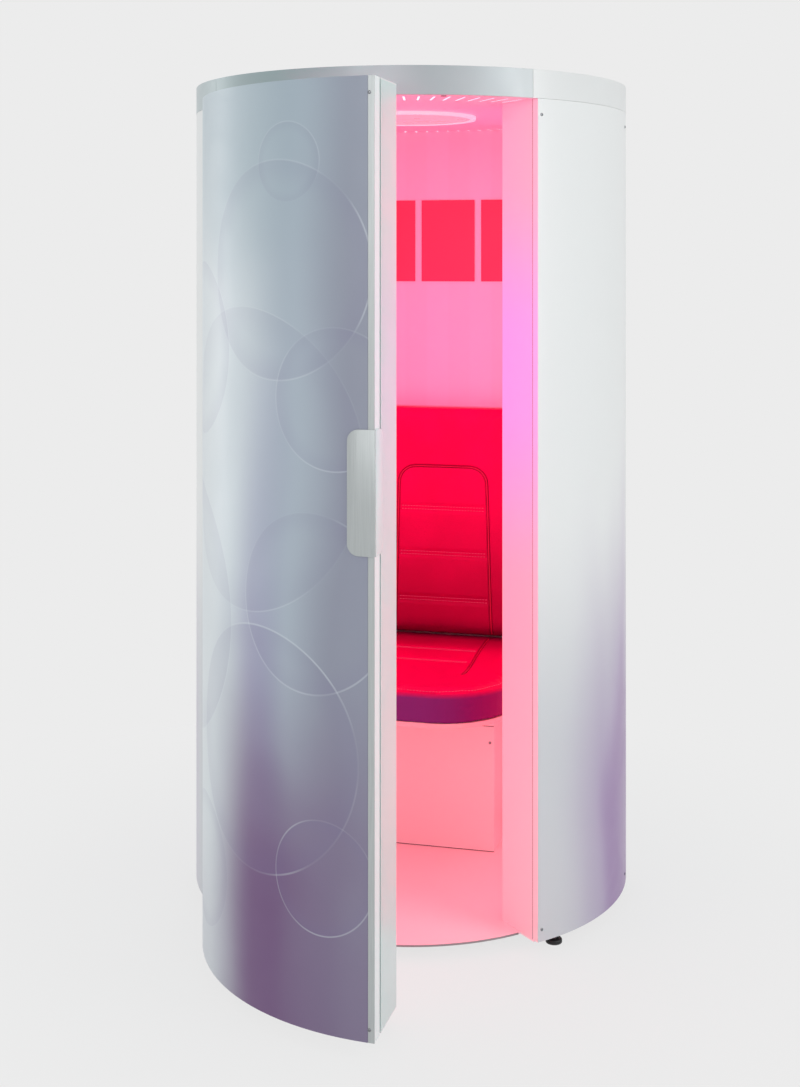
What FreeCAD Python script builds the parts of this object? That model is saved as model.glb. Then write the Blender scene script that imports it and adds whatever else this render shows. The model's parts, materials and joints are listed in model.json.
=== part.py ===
import FreeCAD, Part
import math
import os

# Vertical light booth: a round steel cabin on levelling feet, with one curved door hung on pivot
# pins, a bench seat with a back cushion, lamps behind curved diffusers, and a plenum with fans.
# Millimetres. Origin on the cabin's axis at the ground, front towards -Y, +Z up.
# Angles are degrees about the axis, 0 at the front and growing towards +X.

os.makedirs("parts", exist_ok=True)

# Driving dimensions: shell
shell_r = 570.0
sheet = 1.5
ground_gap = 35.0
base_sheet = 4.0
panel_height = 2000.0
seam_gap = 0.5
header_height = 68.5
rear_seam_angle = 135.0
header_seam_angle = 44.4
lip_width = 10.0
fit_gap = 0.3
weld_lap = 0.2
cut_over = 1.0

# Driving dimensions: doorway and floor
doorway_half_angle = 45.8
jamb_depth = 146.0
jamb_seam_inset = 21.0
jamb_lap = 8.0
jamb_lap_gap = 3.0
jamb_return_angle = 9.2
trough_span_angle = 15.0
floor_front_inset = 70.0
floor_side_inset = 16.0
floor_ring_width = 114.0
channel_width = 60.0
channel_length = 760.0
channel_depth = 15.0
channel_sheet = 2.0
channel_spacing = 400.0
rail_height = 50.0
rail_width = 22.0
rail_end_angle = 2.0

# Driving dimensions: door
door_open_angle = 46.3
door_end_gap = 5.0
door_bottom_gap = 2.0
door_top_gap = 3.0
door_depth = 168.0
edge_strip_width = 14.0
edge_strip_depth = 38.0
groove_width = 9.0
groove_depth = 6.0
stile_flange = 27.0
stile_return = 20.0
stile_trim = 1.0
cap_sheet = 3.0

# Driving dimensions: door pivot
pivot_inset = 25.0
pivot_end_offset = 20.0
pivot_pin_d = 12.0
pivot_clearance = 0.05
swing_gap = 2.5
bush_wall = 3.0
bush_flange = 1.5
bush_rim = 3.0
bush_depth = 22.0
boss_reach = 14.0
boss_inner_reach = 17.0
boss_cover = 3.0
bracket_sheet = 6.0
bracket_width = 40.0
bracket_lap = 55.0
collar_d = 22.0
collar_gap = 0.3
pin_head = 4.0

# Driving dimensions: handle
handle_sheet = 2.5
handle_front = 60.0
handle_side = 56.0
handle_bottom = 1004.0
handle_height = 262.0
handle_corner_r = 25.0
handle_gap = 0.02

# Driving dimensions: lamps
lamp_d = 38.0
lamp_wall = 1.0
lamp_end = 60.0
cabin_lamp_inset = 80.0
cabin_lamp_first = 57.0
cabin_lamp_pitch = 6.5
cabin_lamp_count = 12
door_lamp_inset = 118.0
door_lamp_pitch = 7.0
door_lamp_count = 12
lamp_back_gap = 3.0
holder_width = 30.0
reflector_sheet = 1.0
reflector_end_angle = 3.0

# Driving dimensions: cabin lining
diffuser_sheet = 3.0
diffuser_start_angle = 52.8
niche_half = 275.0
rear_wall_inset = 115.0
card_height = 240.0
card_sheet = 3.0
card_gap = 20.0
card_side_gap = 13.5
card_top_gap = 204.0

# Driving dimensions: seat
seat_top = 522.0
seat_thick = 84.0
seat_side_lap = 15.0
seat_side_gap = 11.5
seat_front_y = -204.0
seat_corner_r = 200.0
seat_taper = 42.0
seat_niche_gap = 21.0
board_sheet = 12.0
board_inset = 12.0
back_thick = 60.0
back_top = 1200.0
back_board = 9.0
back_wall_gap = 0.7
box_half = 200.0
box_front_y = 139.0
box_flange = 24.0
box_flange_lap = 10.0
kick_head = 53.7
kick_gap = 2.0
kick_side_gap = 1.0
kick_screw_drop = 44.0
kick_screw_length = 7.0
rail_tube = 30.0
rail_spacing = 300.0
rail_front_y = -60.0
tube_wall = 2.0
ballast_width = 44.0
ballast_height = 32.0
ballast_pitch = 66.0
ballast_count = 5
ballast_front_gap = 40.0
ballast_rear_gap = 36.0

# Driving dimensions: ceiling
ceiling_sheet = 3.0
slot_edge_gap = 30.8
slot_length = 87.0
slot_width = 5.0
slot_count = 90
slot_skip_angle = 6.0
rib_width = 20.0
rib_gap = 1.0
rib_edge_gap = 2.0
rib_count = 8
rib_first_angle = 10.0
vent_width = 6.0
vent_count = 16
vent_gap = 3.0
disc_r = 174.0
rim_width = 6.0
rim_lip = 8.0
rim_drop = 8.0
disc_sheet = 3.0
light_hole_inset = 16.0
pan_inset = 17.0
pan_height = 37.0
pan_flange = 12.0
ring_lamp_inset = 56.0
ring_lamp_tube_r = 13.0

# Driving dimensions: fans
fan_size = 120.0
fan_depth = 38.0
fan_wall = 3.0
fan_x = 150.0
fan_y = 270.0
fan_hub_r = 20.0
fan_plate_inset = 2.0
fan_arm_width = 8.0
fan_arm_height = 4.0
fan_arm_count = 3
fan_tip_gap = 2.0
fan_blades = 7
fan_blade_tilt = 35.0
fan_blade_width = 60.0
fan_blade_sheet = 2.0
fan_blade_root = 3.0
fan_blade_trim = 2.0
rotor_gap = 0.5
rotor_top_gap = 4.0
hub_cap = 4.0
spindle_d = 5.0
spindle_clearance = 0.05
spindle_end_gap = 2.0

# Driving dimensions: feet
foot_edge_gap = 25.0
foot_angle = 54.8
foot_rear_angle = 125.0
foot_pad_d = 40.0
foot_pad_height = 12.0
foot_chamfer = 3.0
foot_collar_d = 24.0
foot_stem_d = 12.0
foot_stem_top = 78.0
foot_nut_height = 15.0
foot_nut_d = 22.0
foot_clearance = 0.05

# Driving dimensions: small fittings
post_size = 25.0
front_post_inset = 100.0
front_post_angle = 50.0
rear_post_inset = 46.0
screw_d = 4.0
screw_length = 9.0
screw_clearance = 0.1
drill_depth = 14.0
screw_head_d = 7.6
screw_head = 2.0
screw_edge = 11.0
seam_screw_angle = 4.0
rear_screw_angle = 5.0
panel_screw_low = 29.0
panel_screw_drop = 38.0
control_angle = 50.6
control_width = 50.0
control_height = 110.0
control_depth = 28.0
control_bottom = 1000.0
control_corner_r = 4.0
control_gap = 0.1
button_end_gap = 30.0
button_edge_r = 1.5
button_d = 22.0
button_stand = 6.0
button_travel = 3.0
button_clearance = 0.3
catch_angle = 22.0
catch_inset = 25.0
catch_d = 14.0
catch_air_gap = 0.6
magnet_rim = 1.5
magnet_rim_height = 2.0
magnet_stand = 6.0
strike_rim = 2.0
strike_thick = 1.2
gland_height = 115.0
gland_bore_r = 5.5
gland_wall = 4.5
gland_stand = 22.0
gland_inside = 8.0
gland_rim = 4.0
gland_collar = 7.0
gland_nut = 5.0
gland_clearance = 0.1

# Worked out from the driving dimensions
shell_bottom = ground_gap
shell_top = shell_bottom + panel_height
header_top = shell_top + header_height
skin_in = shell_r - sheet
carrier_r = skin_in - fit_gap
jamb_inner_r = shell_r - jamb_depth
jamb_seam_r = shell_r - jamb_seam_inset
floor_front_r = shell_r - floor_front_inset
floor_side_r = shell_r - floor_side_inset
door_inner_r = shell_r - door_depth
cabin_lamp_r = shell_r - cabin_lamp_inset
door_lamp_r = shell_r - door_lamp_inset
front_post_r = shell_r - front_post_inset
rear_post_r = shell_r - rear_post_inset
foot_r = floor_side_r - foot_edge_gap
catch_r = shell_r - catch_inset
rear_wall_y = shell_r - rear_wall_inset
door_half = doorway_half_angle - math.degrees(door_end_gap / shell_r)
door_bottom = shell_bottom + door_bottom_gap
door_top = shell_top - door_top_gap
pivot_r = math.hypot(shell_r - pivot_inset, pivot_end_offset)
pivot_angle = math.degrees(math.atan2(pivot_end_offset, shell_r - pivot_inset)) - door_half
pocket_r = math.hypot(pivot_inset + swing_gap, pivot_inset)
ceiling_top = shell_top + ceiling_sheet
ceiling_r = skin_in - lip_width + fit_gap
slot_outer_r = ceiling_r - slot_edge_gap
slot_inner_r = slot_outer_r - slot_length
roof_top = header_top - sheet
roof_bottom = roof_top - cap_sheet + seam_gap
diffuser_r = jamb_inner_r + sheet + fit_gap
niche_front_y = math.sqrt(diffuser_r ** 2 - niche_half ** 2)
niche_angle = 180.0 - math.degrees(math.asin((niche_half + fit_gap) / diffuser_r))
card_width = (2.0 * (niche_half - sheet - card_side_gap) - 2.0 * card_gap) / 3.0
seat_half = niche_half + seat_side_lap
seat_rear_half = niche_half - sheet - seat_side_gap
seat_narrow_y = niche_front_y - seat_niche_gap
seat_straight_end_y = seat_narrow_y - seat_taper
back_face_y = rear_wall_y - back_wall_gap - back_board - fit_gap - back_thick
seat_level = shell_bottom + seat_top
board_top = seat_level - seat_thick - fit_gap
board_bottom = board_top - board_sheet
box_top = board_bottom - rail_tube
kick_top = box_top - kick_head
rail_inner_r = carrier_r - sheet - rail_width
fan_bottom = roof_bottom - fan_depth
fan_bore_r = fan_size / 2.0 - fan_wall

parts = {}
door_nodes = []


def put(node, shape):
    parts[node] = shape


def put_door(node, shape):
    parts[node] = shape
    door_nodes.append(node)


def polar(radius, angle, z=0.0):
    a = math.radians(angle)
    return FreeCAD.Vector(radius * math.sin(a), -radius * math.cos(a), z)


def turned(shape, angle):
    shape.rotate(FreeCAD.Vector(0, 0, 0), FreeCAD.Vector(0, 0, 1), angle)
    return shape


def sector(r0, r1, a0, a1, z0, z1):
    # Solid between two radii, two angles and two heights.
    mid = (a0 + a1) / 2.0
    outer = Part.Arc(polar(r1, a0, z0), polar(r1, mid, z0), polar(r1, a1, z0)).toShape()
    inner = Part.Arc(polar(r0, a1, z0), polar(r0, mid, z0), polar(r0, a0, z0)).toShape()
    far_side = Part.LineSegment(polar(r1, a1, z0), polar(r0, a1, z0)).toShape()
    near_side = Part.LineSegment(polar(r0, a0, z0), polar(r1, a0, z0)).toShape()
    face = Part.Face(Part.Wire([outer, far_side, inner, near_side]))
    return face.extrude(FreeCAD.Vector(0, 0, z1 - z0))


def disc(radius, z0, z1, x=0.0, y=0.0):
    return Part.makeCylinder(radius, z1 - z0, FreeCAD.Vector(x, y, z0))


def ring(r0, r1, z0, z1, x=0.0, y=0.0):
    return disc(r1, z0, z1, x, y).cut(disc(r0, z0 - cut_over, z1 + cut_over, x, y))


def block(x0, x1, y0, y1, z0, z1):
    return Part.makeBox(x1 - x0, y1 - y0, z1 - z0, FreeCAD.Vector(x0, y0, z0))


def local_block(angle, u0, u1, v0, v1, z0, z1):
    # u runs outward along the radius at the angle, v sideways towards growing angles.
    return turned(block(v0, v1, -u1, -u0, z0, z1), angle)


def folded(angle, path, z0, z1, thick=sheet):
    # Sheet folded at right angles along a path of (u, v) centre-line points.
    half = thick / 2.0
    solid = None
    for (ua, va), (ub, vb) in zip(path[:-1], path[1:]):
        leg = local_block(angle, min(ua, ub) - half, max(ua, ub) + half,
                          min(va, vb) - half, max(va, vb) + half, z0, z1)
        solid = leg if solid is None else solid.fuse(leg)
    return solid.removeSplitter()


def radial_cylinder(radius, angle, z, u0, u1):
    start = polar(u0, angle, z)
    return Part.makeCylinder(radius, u1 - u0, start, polar(1.0, angle))


def radial_screw(angle, z, surface_r):
    shank = radial_cylinder(screw_d / 2.0, angle, z, surface_r - screw_length, surface_r)
    head = radial_cylinder(screw_head_d / 2.0, angle, z, surface_r, surface_r + screw_head)
    return shank.fuse(head).removeSplitter()


def drill(shape, places, surface_r):
    # Screw holes through a curved sheet and what lies behind it.
    hole_r = screw_d / 2.0 + screw_clearance
    for angle, z in places:
        hole = radial_cylinder(hole_r, angle, z, surface_r - drill_depth, surface_r + cut_over)
        shape = shape.cut(hole)
    return shape


def pivot_disc(radius, z0, z1):
    centre = polar(pivot_r, pivot_angle)
    return disc(radius, z0, z1, centre.x, centre.y)


def radial_slots(x, y, r0, r1, width, angles, z0, z1):
    cutters = []
    for angle in angles:
        cutter = local_block(angle, r0, r1, -width / 2.0, width / 2.0, z0, z1)
        cutter.translate(FreeCAD.Vector(x, y, 0))
        cutters.append(cutter)
    return Part.makeCompound(cutters)


screw_step = math.degrees(screw_edge / shell_r)
screw_low = shell_bottom + panel_screw_low
screw_high = shell_top - panel_screw_drop
left_rail_angle = pivot_angle - math.degrees((pocket_r + 2.0 * sheet) / pivot_r) - rail_end_angle
right_rail_angle = doorway_half_angle + math.degrees(3.0 * sheet / shell_r)
right_screw_angles = [doorway_half_angle + screw_step, 90.0, rear_seam_angle - seam_screw_angle]
left_screw_angles = [left_rail_angle - screw_step, -90.0, seam_screw_angle - rear_seam_angle]
rear_screw_angles = [rear_seam_angle + rear_screw_angle, 180.0,
                     360.0 - rear_seam_angle - rear_screw_angle]
screw_heights = [screw_low, screw_high]


def screw_places(angles):
    return [(angle, z) for angle in angles for z in screw_heights]


def make_base():
    # Floor plate with a recessed front edge in the doorway, weld nuts and stiffening channels.
    z0 = shell_bottom - base_sheet
    side = sector(floor_side_r - floor_ring_width, floor_side_r, doorway_half_angle,
                  360.0 - doorway_half_angle, z0, shell_bottom)
    plate = disc(floor_front_r, z0, shell_bottom).fuse(side)
    half = channel_width / 2.0
    reach = channel_length / 2.0
    low = z0 - channel_depth
    for side in (-1, 1):
        channel = block(-half, half, -reach, reach, low, z0)
        channel = channel.cut(block(channel_sheet - half, half - channel_sheet, -reach - cut_over,
                                    reach + cut_over, low - cut_over, z0 - channel_sheet))
        channel.translate(FreeCAD.Vector(side * channel_spacing / 2.0, 0, 0))
        plate = plate.fuse(channel)
    stem_hole = foot_stem_d / 2.0 + foot_clearance
    for angle in foot_angles().values():
        place = polar(foot_r, angle)
        nut = disc(foot_nut_d / 2.0, shell_bottom, shell_bottom + foot_nut_height,
                   place.x, place.y)
        bore = disc(stem_hole, z0 - cut_over, shell_bottom + foot_nut_height + cut_over,
                    place.x, place.y)
        plate = plate.fuse(nut).cut(bore)
    put("base_plate", plate.removeSplitter())


def foot_angles():
    return {
        "foot_front_left": -foot_angle,
        "foot_front_right": foot_angle,
        "foot_rear_left": -foot_rear_angle,
        "foot_rear_right": foot_rear_angle,
    }


def make_feet():
    # Each foot is a moulded pad with a stop collar on a threaded stem.
    for node, angle in foot_angles().items():
        place = polar(foot_r, angle)
        pad = disc(foot_pad_d / 2.0, 0, foot_pad_height, place.x, place.y)
        edges = [e for e in pad.Edges if abs(e.CenterOfMass.z - foot_pad_height) < 0.01]
        pad = pad.makeChamfer(foot_chamfer, edges)
        collar = disc(foot_collar_d / 2.0, foot_pad_height, shell_bottom - base_sheet,
                      place.x, place.y)
        stem = disc(foot_stem_d / 2.0, foot_pad_height, foot_stem_top, place.x, place.y)
        put(node, pad.fuse(collar).fuse(stem).removeSplitter())


def make_frame():
    # Posts between floor plate and ceiling, and the angle rails that the panels are screwed to.
    posts = []
    for side in (-1, 1):
        for radius, angle in ((front_post_r, front_post_angle), (rear_post_r, rear_seam_angle)):
            half = post_size / 2.0
            outer = local_block(side * angle, radius - half, radius + half, -half, half,
                                shell_bottom, shell_top)
            half = half - tube_wall
            inner = local_block(side * angle, radius - half, radius + half, -half, half,
                                shell_bottom - cut_over, shell_top + cut_over)
            posts.append(outer.cut(inner))
    put("frame_posts", Part.makeCompound(posts))

    a0 = right_rail_angle
    a1 = 360.0 + left_rail_angle
    places = screw_places(right_screw_angles + rear_screw_angles + left_screw_angles)
    rails = []
    for z0, flange_z in ((shell_bottom, shell_bottom), (shell_top - rail_height,
                                                         shell_top - sheet)):
        upright = sector(carrier_r - sheet, carrier_r, a0, a1, z0, z0 + rail_height)
        flange = sector(rail_inner_r, carrier_r - sheet, a0, a1, flange_z, flange_z + sheet)
        rails.append(drill(upright.fuse(flange).removeSplitter(), places, shell_r))
    put("panel_rails", Part.makeCompound(rails))


def make_shell():
    # Three curved panels; the right one is folded in at the doorway to form the outer jamb strip.
    half_seam = math.degrees(seam_gap / shell_r)
    z0 = shell_bottom
    z1 = shell_top
    right = sector(skin_in, shell_r, doorway_half_angle, rear_seam_angle - half_seam, z0, z1)
    fold = local_block(doorway_half_angle, jamb_seam_r + seam_gap, shell_r - sheet / 2.0,
                       0, sheet, z0, z1)
    right = right.fuse(fold).removeSplitter()
    put("right_side_panel", drill(right, screw_places(right_screw_angles), shell_r))

    left = sector(skin_in, shell_r, half_seam - rear_seam_angle, -doorway_half_angle, z0, z1)
    left = left.cut(pivot_disc(pocket_r, z0 - cut_over, z1 + cut_over))
    put("left_side_panel", drill(left, screw_places(left_screw_angles), shell_r))

    rear = sector(skin_in, shell_r, rear_seam_angle, 360.0 - rear_seam_angle, z0, z1)
    rear = drill(rear, screw_places(rear_screw_angles), shell_r)
    gland_z = shell_bottom + gland_height
    opening = radial_cylinder(gland_bore_r + gland_wall, 180.0, gland_z, skin_in - cut_over,
                              shell_r + cut_over)
    put("rear_panel", rear.cut(opening))


def make_jambs():
    # The right jamb is a flat strip lapped behind the side panel's fold.
    z0 = shell_bottom
    z1 = shell_top
    angle = doorway_half_angle
    web_u = jamb_inner_r + sheet / 2.0
    web = local_block(angle, web_u, jamb_seam_r, 0, sheet, z0, z1)
    lap = local_block(angle, jamb_seam_r - jamb_lap, carrier_r - jamb_lap_gap, sheet,
                      2.0 * sheet, z0, z1)
    inner = sector(jamb_inner_r, jamb_inner_r + sheet, angle, angle + jamb_return_angle, z0, z1)
    put("right_jamb", web.fuse(lap).fuse(inner).removeSplitter())

    # The left jamb ends in a hollow trough about the pivot, which the door's heel turns in.
    angle = -doorway_half_angle
    pocket = pivot_disc(pocket_r, z0 - cut_over, z1 + cut_over)
    trough = pivot_disc(pocket_r + sheet, z0, z1).cut(pocket)
    behind = sector(jamb_inner_r, carrier_r, angle - trough_span_angle, angle, z0, z1)
    trough = trough.common(behind)
    web = local_block(angle, web_u, pivot_r, -sheet, 0, z0, z1).cut(pocket)
    web_solids = sorted(web.Solids, key=lambda s: s.CenterOfMass.Length)
    inner = sector(jamb_inner_r, jamb_inner_r + sheet, angle - jamb_return_angle, angle, z0, z1)
    put("left_jamb", web_solids[0].fuse(trough).fuse(inner).removeSplitter())


def make_header():
    # Four curved covers with lips above and below, over a stiffened roof plate.
    half_seam = math.degrees(seam_gap / shell_r)
    front = header_seam_angle
    rear = rear_seam_angle
    spans = {
        "header_front": (half_seam - front, front - half_seam),
        "header_right": (front + half_seam, rear - half_seam),
        "header_rear": (rear + half_seam, 360.0 - rear - half_seam),
        "header_left": (half_seam - rear, -front - half_seam),
    }
    z0 = shell_top + seam_gap
    for node, (a0, a1) in spans.items():
        skin = sector(skin_in, shell_r, a0, a1, z0, header_top)
        low = sector(ceiling_r + 2.0 * fit_gap, skin_in + weld_lap, a0, a1, z0, z0 + sheet)
        high = sector(skin_in - 2.0 * lip_width, skin_in + weld_lap, a0, a1, roof_top, header_top)
        put(node, skin.fuse(low).fuse(high).removeSplitter())

    roof = disc(carrier_r, roof_bottom, roof_top)
    for index in range(rib_count):
        angle = rib_first_angle + 360.0 / rib_count * index
        rib = local_block(angle, slot_outer_r + rib_gap, ceiling_r - rib_edge_gap,
                          -rib_width / 2.0, rib_width / 2.0, ceiling_top, roof_bottom)
        roof = roof.fuse(rib)
    angles = [360.0 / vent_count * n for n in range(vent_count)]
    for side in (-1, 1):
        roof = roof.cut(radial_slots(side * fan_x, fan_y, fan_hub_r + vent_gap,
                                     fan_bore_r - vent_gap, vent_width, angles,
                                     roof_bottom - cut_over, roof_top + cut_over))
    put("roof_plate", roof.removeSplitter())


def make_ceiling():
    # Ceiling plate with a ring of air slots, and the round light in its middle.
    plate = disc(ceiling_r, shell_top, ceiling_top)
    pitch = 360.0 / slot_count
    angles = [pitch * (n - slot_count // 2) for n in range(slot_count)]
    clear_of_pivot = [a for a in angles if abs(a - pivot_angle) > slot_skip_angle]
    low = shell_top - cut_over
    high = ceiling_top + cut_over
    plate = plate.cut(radial_slots(0, 0, slot_inner_r, slot_outer_r, slot_width, clear_of_pivot,
                                   low, high))
    plate = plate.cut(disc(disc_r - light_hole_inset, low, high))
    plate = plate.cut(pivot_disc(pivot_pin_d / 2.0 + fit_gap, low, high))
    catch = polar(catch_r, catch_angle)
    plate = plate.cut(disc(catch_d / 2.0 + fit_gap, low, high, catch.x, catch.y))
    put("ceiling_panel", plate)

    rim_bottom = shell_top - rim_drop
    rim = ring(disc_r - rim_width, disc_r, rim_bottom, shell_top)
    rim = rim.fuse(ring(disc_r - rim_width - rim_lip, disc_r, rim_bottom, rim_bottom + sheet))
    put("ceiling_disc_rim", rim.removeSplitter())
    put("ceiling_disc", disc(disc_r - rim_width - fit_gap, rim_bottom + sheet,
                             rim_bottom + sheet + disc_sheet))

    pan_r = disc_r - pan_inset
    pan = ring(pan_r - sheet, pan_r, ceiling_top, ceiling_top + pan_height)
    pan = pan.fuse(disc(pan_r, ceiling_top + pan_height - sheet, ceiling_top + pan_height))
    pan = pan.fuse(ring(pan_r - sheet, pan_r + pan_flange, ceiling_top, ceiling_top + sheet))
    put("ceiling_light_pan", pan.removeSplitter())
    lamp_z = ceiling_top + pan_height - sheet - ring_lamp_tube_r - fit_gap
    put("ceiling_ring_lamp", Part.makeTorus(disc_r - ring_lamp_inset, ring_lamp_tube_r,
                                            FreeCAD.Vector(0, 0, lamp_z)))


def make_diffusers():
    z0 = shell_bottom
    z1 = shell_top
    r0 = diffuser_r
    r1 = diffuser_r + diffuser_sheet
    put("right_diffuser", sector(r0, r1, diffuser_start_angle, niche_angle, z0, z1))
    put("left_diffuser", sector(r0, r1, -niche_angle, -diffuser_start_angle, z0, z1))


def lamp_row(radius, angles, z0, z1):
    # Glass tubes with a holder at each end.
    tubes = []
    holders = []
    for angle in angles:
        place = polar(radius, angle)
        tubes.append(ring(lamp_d / 2.0 - lamp_wall, lamp_d / 2.0, z0 + lamp_end, z1 - lamp_end,
                          place.x, place.y))
        for low, high in ((z0, z0 + lamp_end), (z1 - lamp_end, z1)):
            holders.append(local_block(angle, radius - lamp_d / 2.0, radius + lamp_d / 2.0,
                                       -holder_width / 2.0, holder_width / 2.0, low, high))
    return tubes, holders


def make_cabin_lamps():
    z0 = shell_bottom
    z1 = shell_top
    angles = [cabin_lamp_first + cabin_lamp_pitch * n for n in range(cabin_lamp_count)]
    tubes, holders = lamp_row(cabin_lamp_r, angles + [-a for a in angles], z0, z1)
    put("cabin_lamps", Part.makeCompound(tubes))
    put("cabin_lampholders", Part.makeCompound(holders))
    back_r = cabin_lamp_r + lamp_d / 2.0 + lamp_back_gap
    first_angle = angles[0] - reflector_end_angle
    last_angle = angles[-1] + reflector_end_angle
    right = sector(back_r, back_r + reflector_sheet, first_angle, last_angle, z0, z1)
    left = sector(back_r, back_r + reflector_sheet, -last_angle, -first_angle, z0, z1)
    put("cabin_reflectors", Part.makeCompound([left, right]))


def make_rear_wall():
    # Flat rear lining with side returns, and the three plain cards on it.
    z0 = shell_bottom
    z1 = shell_top
    y1 = rear_wall_y + sheet
    wall = block(-niche_half, niche_half, rear_wall_y, y1, z0, z1)
    for side in (-1, 1):
        x0 = min(side * niche_half, side * (niche_half - sheet))
        wall = wall.fuse(block(x0, x0 + sheet, niche_front_y, y1, z0, z1))
    put("rear_wall", wall.removeSplitter())

    cards = []
    bottom = shell_top - card_top_gap - card_height
    for index in (-1, 0, 1):
        x0 = index * (card_width + card_gap) - card_width / 2.0
        cards.append(block(x0, x0 + card_width, rear_wall_y - card_sheet, rear_wall_y,
                           bottom, bottom + card_height))
    put("wall_cards", Part.makeCompound(cards))


def seat_face(inset, z):
    # Bench outline: round front corners, and narrower at the back inside the niche.
    half = seat_half - inset
    rear_half = seat_rear_half - inset
    front = seat_front_y + inset
    radius = seat_corner_r - inset
    rear = back_face_y + back_thick - inset
    cy = front + radius
    cx = half - radius
    s = math.sqrt(0.5)

    def at(x, y):
        return FreeCAD.Vector(x, y, z)

    edges = [
        Part.Arc(at(-half, cy), at(-cx - radius * s, cy - radius * s), at(-cx, front)).toShape(),
        Part.LineSegment(at(-cx, front), at(cx, front)).toShape(),
        Part.Arc(at(cx, front), at(cx + radius * s, cy - radius * s), at(half, cy)).toShape(),
    ]
    points = [at(half, cy), at(half, seat_straight_end_y), at(rear_half, seat_narrow_y),
              at(rear_half, rear), at(-rear_half, rear), at(-rear_half, seat_narrow_y),
              at(-half, seat_straight_end_y), at(-half, cy)]
    for a, b in zip(points[:-1], points[1:]):
        edges.append(Part.LineSegment(a, b).toShape())
    return Part.Face(Part.Wire(edges))


def make_seat():
    seat = seat_face(0.0, seat_level - seat_thick)
    put("seat_cushion", seat.extrude(FreeCAD.Vector(0, 0, seat_thick)))

    back_y1 = back_face_y + back_thick
    back_z0 = seat_level + fit_gap
    back_z1 = shell_bottom + back_top
    put("backrest_cushion", block(-seat_rear_half, seat_rear_half, back_face_y, back_y1,
                                  back_z0, back_z1))

    seat_board = seat_face(board_inset, board_bottom).extrude(FreeCAD.Vector(0, 0, board_sheet))
    back_board_solid = block(board_inset - seat_rear_half, seat_rear_half - board_inset,
                             back_y1 + fit_gap, back_y1 + fit_gap + back_board,
                             back_z0 + board_inset, back_z1 - board_inset)
    put("upholstery_boards", Part.makeCompound([seat_board, back_board_solid]))


def make_seat_box():
    # Folded pedestal with two square tubes that carry the overhanging seat.
    y0 = box_front_y
    y1 = rear_wall_y - fit_gap
    z0 = shell_bottom
    outer = block(-box_half, box_half, y0, y1, z0, box_top)
    hollow = block(sheet - box_half, box_half - sheet, y0 + sheet, y1 + cut_over, z0 - cut_over,
                   box_top - sheet)
    door = block(-box_half - cut_over, box_half + cut_over, y0 - cut_over, y0 + sheet,
                 z0 - cut_over, kick_top + kick_gap)
    box = outer.cut(hollow).cut(door)
    for side in (-1, 1):
        x0 = -box_half if side < 0 else box_half - box_flange
        box = box.fuse(block(x0, x0 + box_flange, y0 + sheet, y0 + 2.0 * sheet, z0,
                             kick_top + kick_gap + box_flange_lap))
        x = side * rail_spacing / 2.0
        tube = block(x - rail_tube / 2.0, x + rail_tube / 2.0, rail_front_y, y1, box_top,
                     board_bottom)
        inner = rail_tube / 2.0 - tube_wall
        tube = tube.cut(block(x - inner, x + inner, rail_front_y - cut_over, y1 + cut_over,
                              box_top + tube_wall, board_bottom - tube_wall))
        box = box.fuse(tube)
    half = box_half - kick_side_gap
    panel = block(-half, half, y0, y0 + sheet, z0 + kick_gap, kick_top)
    inward = FreeCAD.Vector(0, 1, 0)
    screws = []
    for side in (-1, 1):
        spot = FreeCAD.Vector(side * (box_half - box_flange / 2.0), y0, kick_top - kick_screw_drop)
        hole = Part.makeCylinder(screw_d / 2.0 + screw_clearance, drill_depth,
                                 spot - inward, inward)
        box = box.cut(hole)
        panel = panel.cut(hole)
        shank = Part.makeCylinder(screw_d / 2.0, kick_screw_length, spot, inward)
        head = Part.makeCylinder(screw_head_d / 2.0, screw_head, spot, -inward)
        screws.append(shank.fuse(head).removeSplitter())
    put("seat_box", box.removeSplitter())
    put("kick_panel", panel)

    ballasts = []
    half = ballast_width / 2.0
    for index in range(ballast_count):
        x = (index - (ballast_count - 1) / 2.0) * ballast_pitch
        body = block(x - half, x + half, y0 + ballast_front_gap, rear_wall_y - ballast_rear_gap,
                     z0, z0 + ballast_height)
        ballasts.append(body)
    put("ballasts", Part.makeCompound(ballasts))
    return screws


def make_panel_screws(kick_screws):
    screws = list(kick_screws)
    for angle, z in screw_places(right_screw_angles + rear_screw_angles + left_screw_angles):
        screws.append(radial_screw(angle, z, shell_r))
    put("panel_screws", Part.makeCompound(screws))


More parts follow.
